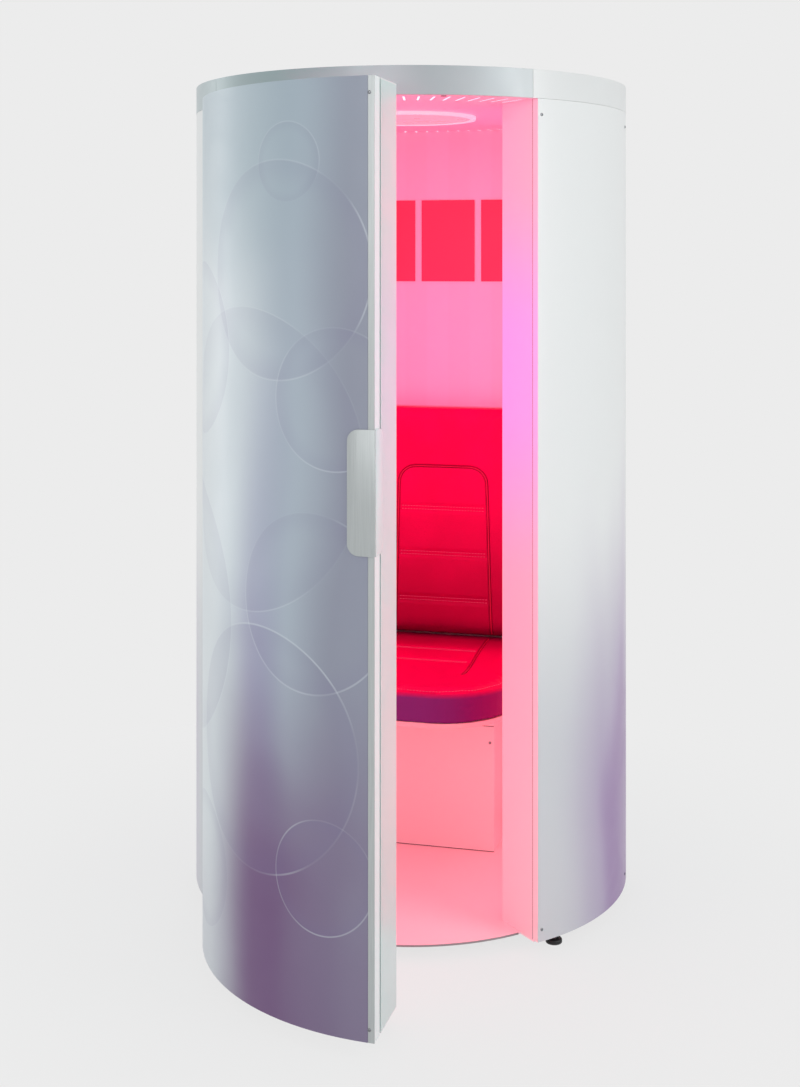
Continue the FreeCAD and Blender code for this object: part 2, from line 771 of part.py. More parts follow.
def make_fans():
    # Two square axial fans under the roof's slots; each rotor turns on a fixed spindle.
    housings = []
    arm_z = fan_bottom + fan_arm_height
    hub_z0 = arm_z + rotor_gap
    hub_z1 = roof_bottom - rotor_top_gap
    bore_z = hub_z1 - hub_cap
    tip_r = fan_bore_r - fan_tip_gap
    root_r = fan_hub_r - fan_blade_root
    half = fan_size / 2.0
    arm = fan_arm_width / 2.0
    wide = fan_blade_width / 2.0
    thin = fan_blade_sheet / 2.0
    for name, side in (("fan_rotor_left", -1), ("fan_rotor_right", 1)):
        x = side * fan_x
        frame = block(x - half, x + half, fan_y - half, fan_y + half, fan_bottom, roof_bottom)
        frame = frame.cut(disc(fan_bore_r, fan_bottom - cut_over, roof_bottom + cut_over,
                               x, fan_y))
        for index in range(fan_arm_count):
            spoke = local_block(360.0 / fan_arm_count * index, 0, fan_bore_r + cut_over, -arm, arm,
                                fan_bottom, arm_z)
            spoke.translate(FreeCAD.Vector(x, fan_y, 0))
            frame = frame.fuse(spoke)
        frame = frame.fuse(disc(fan_hub_r - fan_plate_inset, fan_bottom, arm_z, x, fan_y))
        frame = frame.fuse(disc(spindle_d / 2.0, arm_z, bore_z - spindle_end_gap, x, fan_y))
        housings.append(frame.removeSplitter())

        rotor = disc(fan_hub_r, hub_z0, hub_z1, x, fan_y)
        sweep = ring(root_r, tip_r, hub_z0 + fan_blade_trim, hub_z1 - fan_blade_trim, x, fan_y)
        for index in range(fan_blades):
            blade = block(root_r, tip_r, -thin, thin, -wide, wide)
            blade.rotate(FreeCAD.Vector(0, 0, 0), FreeCAD.Vector(1, 0, 0), 90.0 - fan_blade_tilt)
            blade = turned(blade, 360.0 / fan_blades * index)
            blade.translate(FreeCAD.Vector(x, fan_y, (hub_z0 + hub_z1) / 2.0))
            rotor = rotor.fuse(blade.common(sweep))
        bore = disc(spindle_d / 2.0 + spindle_clearance, hub_z0 - cut_over, bore_z, x, fan_y)
        put(name, rotor.cut(bore).removeSplitter())
    put("fan_housings", Part.makeCompound(housings))


def make_pivots():
    # Fixed brackets and pins; the lower pin's collar stands just under the door's bush.
    plate_z = shell_bottom - base_sheet
    pin_r = pivot_pin_d / 2.0
    inner_u = floor_front_r - bracket_lap
    brackets = []
    for z0 in (plate_z - bracket_sheet, ceiling_top):
        arm = local_block(pivot_angle, inner_u, pivot_r, -bracket_width / 2.0,
                          bracket_width / 2.0, z0, z0 + bracket_sheet)
        arm = arm.fuse(pivot_disc(bracket_width / 2.0, z0, z0 + bracket_sheet))
        arm = arm.cut(pivot_disc(pin_r, z0 - cut_over, z0 + bracket_sheet + cut_over))
        brackets.append(arm.removeSplitter())
    put("pivot_brackets", Part.makeCompound(brackets))

    bush_low = door_bottom - bush_flange
    low = pivot_disc(pin_r, plate_z - bracket_sheet, door_bottom + cap_sheet + bush_depth)
    low = low.fuse(pivot_disc(collar_d / 2.0, plate_z, bush_low - collar_gap))
    high = pivot_disc(pin_r, door_top - cap_sheet - bush_depth, ceiling_top + bracket_sheet)
    high = high.fuse(pivot_disc(collar_d / 2.0, ceiling_top + bracket_sheet,
                                ceiling_top + bracket_sheet + pin_head))
    put("pivot_pins", Part.makeCompound([low.removeSplitter(), high.removeSplitter()]))


def make_catch():
    place = polar(catch_r, catch_angle)
    radius = catch_d / 2.0
    strike_top = door_top + strike_thick
    magnet = disc(radius, strike_top + catch_air_gap, ceiling_top + magnet_stand,
                  place.x, place.y)
    magnet = magnet.fuse(disc(radius + magnet_rim, ceiling_top, ceiling_top + magnet_rim_height,
                              place.x, place.y))
    put("catch_magnet", magnet.removeSplitter())
    put_door("catch_strike", disc(radius + strike_rim, door_top, strike_top, place.x, place.y))


def make_control():
    # Control box on the left jamb's return, with two sprung buttons facing the sitter.
    z0 = shell_bottom + control_bottom
    z1 = z0 + control_height
    back_u = math.sqrt(jamb_inner_r ** 2 - (control_width / 2.0) ** 2) - control_gap
    face_u = back_u - control_depth
    box = local_block(-control_angle, face_u, back_u, -control_width / 2.0,
                      control_width / 2.0, z0, z1)
    upright = [e for e in box.Edges if abs(e.Length - control_height) < 0.01]
    box = box.makeFillet(control_corner_r, upright)
    well_end = face_u + 2.0 * button_stand + button_travel
    cap_r = button_d / 2.0
    cap_face = face_u - button_stand
    for node, z in (("button_start", z1 - button_end_gap), ("button_stop", z0 + button_end_gap)):
        well = radial_cylinder(cap_r + button_clearance, -control_angle, z, face_u - cut_over,
                               well_end)
        box = box.cut(well)
        cap = radial_cylinder(cap_r, -control_angle, z, cap_face, face_u + button_stand)
        rim = [e for e in cap.Edges if e.Closed and e.Length > cap_r
               and abs(math.hypot(e.CenterOfMass.x, e.CenterOfMass.y) - cap_face) < 0.5]
        put(node, cap.makeFillet(button_edge_r, rim))
    put("control_box", box)


def make_gland():
    gland_z = shell_bottom + gland_height
    body_r = gland_bore_r + gland_wall
    rim_r = body_r + gland_rim
    outside = shell_r + gland_stand
    inside = skin_in - gland_inside
    body = radial_cylinder(body_r - gland_clearance, 180.0, gland_z, inside, outside)
    collar = radial_cylinder(rim_r, 180.0, gland_z, shell_r + fit_gap, shell_r + gland_collar)
    nut = radial_cylinder(rim_r, 180.0, gland_z, carrier_r - gland_nut, carrier_r)
    bore = radial_cylinder(gland_bore_r, 180.0, gland_z, inside - cut_over, outside + cut_over)
    put("cable_gland", body.fuse(collar).fuse(nut).cut(bore).removeSplitter())


def make_door_shell():
    # Curved skin, edge strip at the free end, and a folded stile at each end.
    z0 = door_bottom
    z1 = door_top
    strip_angle = math.degrees(edge_strip_width / shell_r)
    seam = math.degrees(seam_gap / shell_r)
    hinge = -door_half
    places = [(side * (door_half - screw_step), z) for side in (-1, 1) for z in screw_heights]

    skin = sector(skin_in, shell_r, hinge, door_half - strip_angle - seam, z0, z1)
    put_door("door_skin", drill(skin, places, shell_r))

    strip = sector(skin_in, shell_r, door_half - strip_angle, door_half, z0, z1)
    leg = local_block(door_half, shell_r - edge_strip_depth, shell_r - sheet / 2.0, -sheet, 0,
                      z0, z1)
    put_door("door_edge_strip", drill(strip.fuse(leg).removeSplitter(), places, shell_r))

    half = sheet / 2.0
    reach = (math.sqrt(skin_in ** 2 - (stile_flange + groove_depth + sheet) ** 2) - half
             - fit_gap)
    step_u = shell_r - edge_strip_depth - groove_width - half
    floor_v = -groove_depth - half
    free_path = [
        (door_inner_r + half, -stile_return),
        (door_inner_r + half, -half),
        (step_u, -half),
        (step_u, floor_v),
        (reach, floor_v),
        (reach, floor_v - stile_flange),
    ]
    low = z0 + cap_sheet
    high = z1 - cap_sheet
    put_door("door_free_stile", drill(folded(door_half, free_path, low, high), places, shell_r))
    hinge_path = [
        (door_inner_r + half, stile_return),
        (door_inner_r + half, half),
        (reach, half),
        (reach, half + stile_flange),
    ]
    put_door("door_hinge_stile", drill(folded(hinge, hinge_path, low, high), places, shell_r))
    put_door("door_screws", Part.makeCompound([radial_screw(a, z, shell_r) for a, z in places]))


def make_door_caps():
    # End plates between skin and diffuser, each with a bush block at the pivot.
    bush_r = pivot_pin_d / 2.0 + pivot_clearance + bush_wall
    bore_r = pivot_pin_d / 2.0 + pivot_clearance
    bushes = []
    low = door_bottom
    high = door_top
    spans = (
        ("door_bottom_cap", low, low + cap_sheet, low + cap_sheet + bush_depth + boss_cover, -1),
        ("door_top_cap", high, high - cap_sheet, high - cap_sheet - bush_depth - boss_cover, 1),
    )
    hinge = -door_half
    for node, face_z, inside_z, block_z, outward in spans:
        plate = sector(door_inner_r, carrier_r, hinge, door_half,
                       min(face_z, inside_z), max(face_z, inside_z))
        notch_u = shell_r - edge_strip_depth - groove_width
        notch = local_block(door_half, notch_u, shell_r, -groove_depth, groove_depth,
                            min(face_z, inside_z) - cut_over, max(face_z, inside_z) + cut_over)
        plate = plate.cut(notch)
        boss = local_block(hinge, shell_r - pivot_inset - boss_inner_reach,
                           shell_r - pivot_inset + boss_reach, sheet + fit_gap,
                           pivot_end_offset + boss_reach,
                           min(inside_z, block_z), max(inside_z, block_z))
        hole_z = (min(face_z, block_z) - bush_flange - cut_over,
                  max(face_z, block_z) + bush_flange + cut_over)
        cap = plate.fuse(boss).cut(pivot_disc(bush_r, *hole_z))
        put_door(node, cap.removeSplitter())

        tip = inside_z - outward * bush_depth
        bush = pivot_disc(bush_r, min(face_z, tip), max(face_z, tip))
        rim_z = face_z + outward * bush_flange
        bush = bush.fuse(pivot_disc(bush_r + bush_rim, min(face_z, rim_z), max(face_z, rim_z)))
        bushes.append(bush.cut(pivot_disc(bore_r, *hole_z)).removeSplitter())
    put_door("pivot_bushes", Part.makeCompound(bushes))


def make_door_light():
    low = door_bottom + cap_sheet
    high = door_top - cap_sheet
    r0 = math.hypot(door_inner_r + sheet, stile_return) + fit_gap
    trim = math.degrees((sheet + stile_trim) / door_inner_r)
    put_door("door_diffuser", sector(r0, r0 + diffuser_sheet, trim - door_half,
                                     door_half - trim, low, high))
    first = -door_lamp_pitch * (door_lamp_count - 1) / 2.0
    angles = [first + door_lamp_pitch * n for n in range(door_lamp_count)]
    tubes, holders = lamp_row(door_lamp_r, angles, low, high)
    put_door("door_lamps", Part.makeCompound(tubes))
    put_door("door_lampholders", Part.makeCompound(holders))
    back_r = door_lamp_r + lamp_d / 2.0 + lamp_back_gap
    last = reflector_end_angle - first
    put_door("door_reflector", sector(back_r, back_r + reflector_sheet, -last, last, low, high))


def rounded_prism(angle, v0, v1, z0, z1, radius, u0, u1):
    # Radial prism whose two corners at v0 are rounded.
    prism = local_block(angle, u0, u1, v0, v1, z0, z1)
    direction = polar(1.0, angle)
    edges = []
    for edge in prism.Edges:
        along = edge.tangentAt(edge.FirstParameter)
        if abs(abs(along.dot(direction)) - 1.0) > 1e-6:
            continue
        back = turned(edge.copy(), -angle)
        if abs(back.CenterOfMass.x - v0) < 0.01:
            edges.append(edge)
    return prism.makeFillet(radius, edges)


def make_handle():
    # Bent plate on the free edge: one leg on the skin, one on the door's end.
    z0 = shell_bottom + handle_bottom
    z1 = z0 + handle_height
    outer = shell_r + handle_sheet
    reach = math.degrees((handle_front + handle_sheet) / shell_r)
    wrap = math.degrees(handle_sheet / 2.0 / shell_r)
    front = sector(shell_r + handle_gap, outer, door_half - reach, door_half + wrap, z0, z1)
    shape = rounded_prism(door_half, -handle_front, 2.0 * handle_sheet, z0, z1,
                          handle_corner_r, shell_r - handle_front, outer + cut_over)
    front = front.common(shape)
    side = local_block(door_half, shell_r - handle_side, outer, handle_gap, handle_sheet, z0, z1)
    corners = []
    for edge in side.Edges:
        back = turned(edge.copy(), -door_half)
        along = back.tangentAt(back.FirstParameter)
        at_free_side = abs(back.CenterOfMass.y + shell_r - handle_side) < 0.01
        if at_free_side and abs(abs(along.x) - 1.0) < 1e-6:
            corners.append(edge)
    side = side.makeFillet(handle_corner_r, corners)
    put_door("door_handle", front.fuse(side).removeSplitter())


def build():
    make_base()
    make_feet()
    make_frame()
    make_shell()
    make_jambs()
    make_header()
    make_ceiling()
    make_diffusers()
    make_cabin_lamps()
    make_rear_wall()
    make_seat()
    make_panel_screws(make_seat_box())
    make_fans()
    make_pivots()
    make_catch()
    make_control()
    make_gland()
    make_door_shell()
    make_door_caps()
    make_door_light()
    make_handle()

    # The door rests part open: it is turned about its pivot from the closed place.
    pivot = polar(pivot_r, pivot_angle)
    for node in door_nodes:
        parts[node].rotate(pivot, FreeCAD.Vector(0, 0, 1), -door_open_angle)

    for node, shape in parts.items():
        shape.exportStep("parts/%s.step" % node)
        solids = len(shape.Solids)
        print("%-20s solids %3d valid %s volume %.0f" % (node, solids, shape.isValid(),
                                                         shape.Volume))
    print("nodes", len(parts))
    print("pivot %.3f %.3f door half %.3f pocket %.2f" % (pivot.x, pivot.y, door_half, pocket_r))


build()
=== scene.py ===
import json
import math

import bmesh
import bpy
from mathutils import Matrix, Vector
from mathutils.bvhtree import BVHTree

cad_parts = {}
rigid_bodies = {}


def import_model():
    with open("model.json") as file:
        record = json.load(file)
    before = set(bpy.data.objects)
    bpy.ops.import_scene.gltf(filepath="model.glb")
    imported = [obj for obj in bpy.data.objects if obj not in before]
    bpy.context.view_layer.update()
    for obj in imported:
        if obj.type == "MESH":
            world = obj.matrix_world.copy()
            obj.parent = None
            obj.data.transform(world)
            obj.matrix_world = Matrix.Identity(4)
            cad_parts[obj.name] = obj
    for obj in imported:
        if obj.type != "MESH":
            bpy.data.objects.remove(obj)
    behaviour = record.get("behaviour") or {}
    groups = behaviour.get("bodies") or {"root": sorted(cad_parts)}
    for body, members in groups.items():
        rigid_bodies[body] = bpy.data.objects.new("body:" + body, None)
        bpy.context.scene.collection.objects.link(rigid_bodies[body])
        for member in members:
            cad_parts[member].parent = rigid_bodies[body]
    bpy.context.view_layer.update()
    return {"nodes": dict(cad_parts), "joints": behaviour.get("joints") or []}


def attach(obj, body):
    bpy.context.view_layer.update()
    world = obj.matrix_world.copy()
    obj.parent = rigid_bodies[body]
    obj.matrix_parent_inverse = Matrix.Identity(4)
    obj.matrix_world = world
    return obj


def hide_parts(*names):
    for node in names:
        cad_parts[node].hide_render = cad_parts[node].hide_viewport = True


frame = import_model()
nodes = frame["nodes"]
joints = {joint["name"]: joint for joint in frame["joints"]}
print("frame loaded:", len(nodes), "nodes")


# small helpers

def srgb(red, green, blue):
    # 0-255 screen values to a linear colour
    def one(v):
        v = v / 255.0
        return v / 12.92 if v <= 0.04045 else ((v + 0.055) / 1.055) ** 2.4
    return (one(red), one(green), one(blue), 1.0)


def darker(color, share):
    return (color[0] * share, color[1] * share, color[2] * share, 1.0)


def polar(radius, angle, z=0.0):
    a = math.radians(angle)
    return Vector((radius * math.sin(a), -radius * math.cos(a), z))


def clearSelection():
    for obj in bpy.context.view_layer.objects:
        obj.select_set(False)
    bpy.context.view_layer.objects.active = None


def pick(obj):
    clearSelection()
    obj.select_set(True)
    bpy.context.view_layer.objects.active = obj


def settle(obj):
    # put the place into the mesh, so the object sits at the origin
    pick(obj)
    bpy.ops.object.transform_apply(location=True, rotation=True, scale=True)


def edit(obj):
    # edit mode with everything selected
    pick(obj)
    bpy.ops.object.mode_set(mode="EDIT")
    bpy.context.tool_settings.mesh_select_mode = (True, False, False)
    bpy.ops.mesh.select_all(action="SELECT")


def leaveEdit(gap=0.00001):
    bpy.ops.mesh.select_all(action="SELECT")
    bpy.ops.mesh.remove_doubles(threshold=gap)
    bpy.ops.mesh.normals_make_consistent(inside=False)
    bpy.ops.object.mode_set(mode="OBJECT")


def selectIn(obj, test, kind="FACE"):
    # in edit mode: select by a test on faces, edges or vertices
    mesh = bmesh.from_edit_mesh(obj.data)
    bpy.context.tool_settings.mesh_select_mode = (kind == "VERT", kind == "EDGE", kind == "FACE")
    items = {"VERT": mesh.verts, "EDGE": mesh.edges, "FACE": mesh.faces}
    for group in items.values():
        for item in group:
            item.select = False
    for item in items[kind]:
        if test(item):
            item.select_set(True)
    mesh.select_flush_mode()
    bmesh.update_edit_mesh(obj.data)


def spinOn(angle, center=(0, 0, 0), steps=12):
    # carries the selected faces round an upright axis, towards +X from the front
    bpy.ops.mesh.spin(steps=steps, angle=-math.radians(angle), center=center, axis=(0, 0, 1))


def addPlane(name):
    clearSelection()
    bpy.ops.mesh.primitive_plane_add(size=0.01)
    bpy.context.object.name = name
    return bpy.context.object


def addBlock(name, low, high):
    clearSelection()
    bpy.ops.mesh.primitive_cube_add(size=1, location=[(a + b) / 2 for a, b in zip(low, high)])
    obj = bpy.context.object
    obj.name = name
    obj.scale = [b - a for a, b in zip(low, high)]
    settle(obj)
    return obj


def addSection(name, angle, inner, outer, low, high):
    # one upright face where a bent strip begins, ready to be spun on
    obj = addPlane(name)
    corners = [polar(inner, angle, low), polar(outer, angle, low),
               polar(outer, angle, high), polar(inner, angle, high)]
    for index, place in zip(obj.data.polygons[0].vertices[:], corners):
        obj.data.vertices[index].co = place
    edit(obj)
    return obj


def useModifier(obj, kind, **values):
    pick(obj)
    modifier = obj.modifiers.new(kind.title(), kind)
    for key, value in values.items():
        setattr(modifier, key, value)
    bpy.ops.object.modifier_apply(modifier=modifier.name)


def soften(obj, width, segments=2, sharper=None):
    # eases the edges, or only those that are sharper than an angle
    limit = {} if sharper is None else {"limit_method": "ANGLE",
                                        "angle_limit": math.radians(sharper)}
    useModifier(obj, "BEVEL", width=width, segments=segments, **limit)


def cutWith(obj, cutter, operation):
    useModifier(obj, "BOOLEAN", operation=operation, solver="EXACT", object=cutter)
    bpy.data.objects.remove(cutter)


def copyTo(obj, matrix):
    copy = obj.copy()
    copy.data = obj.data.copy()
    bpy.context.collection.objects.link(copy)
    copy.matrix_world = matrix
    return copy


def joined(name, parts):
    bpy.context.view_layer.update()
    clearSelection()
    for part in parts:
        part.select_set(True)
    bpy.context.view_layer.objects.active = parts[0]
    if len(parts) > 1:
        bpy.ops.object.join()
    obj = bpy.context.object
    obj.name = name
    obj.data.name = name
    return obj


def turned(angle):
    return Matrix.Rotation(math.radians(angle), 4, "Z")


def finishPiece(obj, body, material, replaced=(), smooth=35):
    settle(obj)
    if smooth:
        bpy.ops.object.shade_smooth_by_angle(angle=math.radians(smooth))
    obj.data.materials.clear()
    obj.data.materials.append(material)
    if replaced:
        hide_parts(*replaced)
    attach(obj, body)


# shader helpers

def add(tree, kind, inputs=None, **settings):
    made = tree.nodes.new("ShaderNode" + kind)
    for key, value in settings.items():
        setattr(made, key, value)
    for key, value in (inputs or {}).items():
        if isinstance(value, bpy.types.NodeSocket):
            tree.links.new(value, made.inputs[key])
        else:
            made.inputs[key].default_value = value
    return made


def maths(tree, operation, *values):
    return add(tree, "Math", dict(enumerate(values)), operation=operation).outputs[0]


def times(tree, first, *others):
    for other in others:
        first = maths(tree, "MULTIPLY", first, other)
    return first


def ranged(tree, value, low, high, toLow=0.0, toHigh=1.0, kind="SMOOTHSTEP"):
    ends = {"Value": value, "From Min": low, "From Max": high, "To Min": toLow, "To Max": toHigh}
    return add(tree, "MapRange", ends, interpolation_type=kind).outputs["Result"]


def linear(tree, value, low, high, toLow=0.0, toHigh=1.0):
    return ranged(tree, value, low, high, toLow, toHigh, "LINEAR")


def mixed(tree, factor, first, second):
    return add(tree, "Mix", {0: factor, 6: first, 7: second}, data_type="RGBA").outputs[2]


def ramped(tree, value, stops):
    made = add(tree, "ValToRGB", {"Fac": value})
    ramp = made.color_ramp
    ramp.interpolation = "EASE"
    for element, (place, color) in zip(ramp.elements, (stops[0], stops[-1])):
        element.position = place
        element.color = color
    for place, color in stops[1:-1]:
        ramp.elements.new(place).color = color
    return made.outputs["Color"]


def noise(tree, place, scale, detail, **more):
    inputs = {"Vector": place, "Scale": scale, "Detail": detail, **more}
    return add(tree, "TexNoise", inputs).outputs[0]


def vectorMaths(tree, operation, *values):
    return add(tree, "VectorMath", dict(enumerate(values)), operation=operation)


def stretched(tree, place, upright):
    return add(tree, "Mapping", {"Vector": place, "Scale": (1.0, 1.0, upright)}).outputs[0]


def apart(tree, place):
    return add(tree, "SeparateXYZ", {0: place}).outputs


def blankTree(owner):
    owner.use_nodes = True
    owner.node_tree.nodes.clear()
    return owner.node_tree


# camera, floor and lights

studio = {
    "cameraPlace": (1.01534, -4.08215, 1.64365),
    "cameraTurn": 14.369,
    "sensor": 36.0,
    "lens": 52.016,
    "shiftY": -0.25758,
    "reach": 200.0,
    "background": srgb(236, 236, 236),
    "worldLight": (0.95, 0.98, 1.0, 1.0),
    "worldStrength": 0.60,
    "floorSize": 60.0,
    "floorLevel": -0.0005,
    "floorTone": (0.80, 0.80, 0.80, 1.0),
    # how much of the plain background shows on the floor, near the booth and away from it
    "floorShown": (0.55, 1.6, 0.88, 1.0),
    "lights": [
        # name, place, target, width, height, power
        ("rightSoftbox", (3.4, -1.5, 2.1), (0.3, -0.2, 1.1), 1.6, 2.8, 40.0),
        ("leftSoftbox", (-3.3, 0.35, 1.7), (-0.4, -0.5, 1.1), 1.0, 3.0, 18.0),
        ("frontFill", (-0.4, -5.2, 2.6), (0.0, 0.0, 1.1), 2.8, 2.0, 40.0),
        ("backFill", (-1.0, 4.2, 3.2), (0.0, 0.0, 1.2), 2.4, 1.8, 50.0),
    ],
}


def addCamera():
    clearSelection()
    turn = (math.radians(90), 0, math.radians(studio["cameraTurn"]))
    bpy.ops.object.camera_add(location=studio["cameraPlace"], rotation=turn)
    camera = bpy.context.object
    camera.data.sensor_width = studio["sensor"]
    camera.data.lens = studio["lens"]
    camera.data.shift_y = studio["shiftY"]
    camera.data.clip_end = studio["reach"]
    bpy.context.scene.camera = camera


def addLights():
    for name, place, target, width, height, power in studio["lights"]:
        bpy.ops.object.light_add(type="AREA", location=place)
        lamp = bpy.context.object
        lamp.name = name
        lamp.data.shape = "RECTANGLE"
        lamp.data.size = width
        lamp.data.size_y = height
        lamp.data.energy = power
        aim = Vector(target) - Vector(place)
        lamp.rotation_euler = aim.to_track_quat("-Z", "Y").to_euler()


def seenBy(tree, *rays):
    # 1 where the camera looks, or one of the other kinds of ray
    path = add(tree, "LightPath").outputs
    seen = path["Is Camera Ray"]
    for ray in rays:
        seen = maths(tree, "MAXIMUM", seen, path["Is %s Ray" % ray])
    return seen


def mixShaders(tree, share, first, second, output):
    both = add(tree, "MixShader", {0: share, 1: first.outputs[0], 2: second.outputs[0]})
    add(tree, output, {"Surface": both.outputs[0]})


def addStage():
    plain = {"Color": studio["background"], "Strength": 1.0}
    world = bpy.data.worlds.new("studioWorld")
    bpy.context.scene.world = world
    tree = blankTree(world)
    lit = add(tree, "Background", {"Color": studio["worldLight"],
                                   "Strength": studio["worldStrength"]})
    mixShaders(tree, seenBy(tree, "Glossy", "Transmission"), lit,
               add(tree, "Background", plain), "OutputWorld")

    clearSelection()
    bpy.ops.mesh.primitive_plane_add(size=studio["floorSize"],
                                     location=(0, 0, studio["floorLevel"]))
    floor = bpy.context.object
    floor.name = "studioFloor"
    settle(floor)
    material = bpy.data.materials.new("paleFloor")
    tree = blankTree(material)
    place = add(tree, "TexCoord").outputs["Object"]
    away = vectorMaths(tree, "LENGTH", place).outputs["Value"]
    share = times(tree, seenBy(tree, "Glossy"), ranged(tree, away, *studio["floorShown"]))
    mixShaders(tree, share, add(tree, "BsdfDiffuse", {"Color": studio["floorTone"]}),
               add(tree, "Emission", plain), "OutputMaterial")
    floor.data.materials.append(material)


bpy.context.scene.view_settings.view_transform = "Standard"
addCamera()
addLights()
addStage()
print("camera, lights and floor ready")


# shared surface effects

# the span that nearly all values of a noise fall in
spread = (0.3, 0.7)


def startGroup(name, **inputs):
    # an input without a starting value is a place
    group = bpy.data.node_groups.new(name, "ShaderNodeTree")
    for label, value in inputs.items():
        kind = "NodeSocketVector" if value is None else "NodeSocketFloat"
        socket = group.interface.new_socket(name=label, in_out="INPUT", socket_type=kind)
        if value is not None:
            socket.default_value = value
    return group, group.nodes.new("NodeGroupInput").outputs


def closeGroup(group, **results):
    for label in results:
        group.interface.new_socket(name=label, in_out="OUTPUT", socket_type="NodeSocketFloat")
    out = group.nodes.new("NodeGroupOutput").inputs
    for label, value in results.items():
        group.links.new(value, out[label])
    return group


def makePowderCoat():
    # the faint orange peel of stoved paint, and a slow drift in tone
    group, given = startGroup("powderCoat", Vector=None, Scale=260.0)
    slow = noise(group, given["Vector"], 1.7, 3.0)
    return closeGroup(group, Height=noise(group, given["Vector"], given["Scale"], 2.0),
                      Tone=ranged(group, slow, *spread))


def makeBrushed():
    # long fine lines drawn along Z
    group, given = startGroup("brushedLines", Vector=None, Scale=900.0)
    lines = noise(group, stretched(group, given["Vector"], 0.012), given["Scale"], 3.0)
    return closeGroup(group, Height=lines, Tone=ranged(group, lines, *spread))


def makeLeather():
    # pebbled vinyl: rounded cells with creases between them
    group, given = startGroup("vinylGrain", Vector=None, Scale=420.0)
    warp = add(group, "TexNoise", {"Vector": given["Vector"], "Scale": 90.0, "Detail": 1.0})
    moved = vectorMaths(group, "MULTIPLY", warp.outputs["Color"], (0.004, 0.004, 0.004))
    place = vectorMaths(group, "ADD", given["Vector"], moved.outputs[0]).outputs[0]
    cells = add(group, "TexVoronoi", {"Vector": place, "Scale": given["Scale"]},
                feature="DISTANCE_TO_EDGE")
    crease = ranged(group, cells.outputs["Distance"], 0.0, 0.16)
    slow = noise(group, given["Vector"], 7.0, 3.0)
    return closeGroup(group, Height=crease, Crease=maths(group, "SUBTRACT", 1.0, crease),
                      Tone=ranged(group, slow, *spread))


def makeSmudges():
    # faint handling marks, for roughness
    group, given = startGroup("handMarks", Vector=None, Scale=9.0)
    broad = noise(group, given["Vector"], given["Scale"], 5.0, Roughness=0.6, Distortion=0.6)
    return closeGroup(group, Mask=ranged(group, broad, 0.42, 0.68))


def makePolar():
    # degrees about an upright axis, 0 at the front and growing towards +X
    group, given = startGroup("aboutAxis", Vector=None, Axis=None, Turn=0.0)
    local = vectorMaths(group, "SUBTRACT", given["Vector"], given["Axis"]).outputs[0]
    part = apart(group, local)
    angle = maths(group, "ARCTAN2", part["X"], times(group, part["Y"], -1.0))
    degrees = maths(group, "MULTIPLY_ADD", angle, 180.0 / math.pi, given["Turn"])
    flat = vectorMaths(group, "MULTIPLY", local, (1.0, 1.0, 0.0)).outputs[0]
    return closeGroup(group, Degrees=degrees, Height=part["Z"],
                      Radius=vectorMaths(group, "LENGTH", flat).outputs["Value"])


def makeBubble():
    # one translucent bubble on a printed sheet: a fine rim line and a soft shade inside it
    group, given = startGroup("printedBubble", Across=0.0, Height=0.0, CentreAcross=0.0,
                              CentreHeight=0.0, Radius=0.2, Line=0.002)
    dx = maths(group, "SUBTRACT", given["Across"], given["CentreAcross"])
    dz = maths(group, "SUBTRACT", given["Height"], given["CentreHeight"])
    away = maths(group, "SQRT", maths(group, "ADD", times(group, dx, dx), times(group, dz, dz)))
    off = maths(group, "SUBTRACT", away, given["Radius"])
    rim = maths(group, "DIVIDE", maths(group, "ABSOLUTE", off), given["Line"])
    depth = maths(group, "DIVIDE", times(group, off, -1.0), given["Radius"])
    inside = maths(group, "GREATER_THAN", depth, 0.0)
    return closeGroup(group, Rim=ranged(group, rim, 1.4, 0.4),
                      Inside=times(group, ranged(group, depth, 0.30, 0.0), inside))


groups = {
    "coat": makePowderCoat(),
    "brushed": makeBrushed(),
    "leather": makeLeather(),
    "smudge": makeSmudges(),
    "polar": makePolar(),
    "bubble": makeBubble(),
}


def useGroup(tree, name, **inputs):
    return add(tree, "Group", inputs, node_tree=groups[name]).outputs


def startMaterial(name, grain, scale, **values):
    # the shader, the place on the piece and one surface effect
    material = bpy.data.materials.new(name)
    tree = blankTree(material)
    values = {key.replace("_", " "): value for key, value in values.items()}
    shader = add(tree, "BsdfPrincipled", values)
    add(tree, "OutputMaterial", {"Surface": shader.outputs[0]})
    place = add(tree, "TexCoord").outputs["Object"]
    return material, tree, shader, place, useGroup(tree, grain, Vector=place, Scale=scale)


def drifting(tree, surface, color, share):
    # a tone that sinks to a share of itself and comes back
    return mixed(tree, surface["Tone"], darker(color, share), color)


def complete(tree, shader, color, rough, surface, strength, distance):
    # the last links of a material: colour, roughness and relief
    bump = add(tree, "Bump", {"Height": surface["Height"], "Strength": strength,
                              "Distance": distance})
    ends = {"Base Color": color, "Roughness": rough, "Normal": bump.outputs[0]}
    for label, value in ends.items():
        if value is not None:
            tree.links.new(value, shader.inputs[label])


def handled(tree, place, roughness, low, high, scale=9.0):
    # roughness that wanders between two shares of itself, as hands leave it
    mask = useGroup(tree, "smudge", Vector=place, Scale=scale)["Mask"]
    return linear(tree, mask, 0.0, 1.0, roughness * low, roughness * high)


paint = {"coatRoughness": 0.2, "rough": (0.9, 1.2), "depth": 0.001}


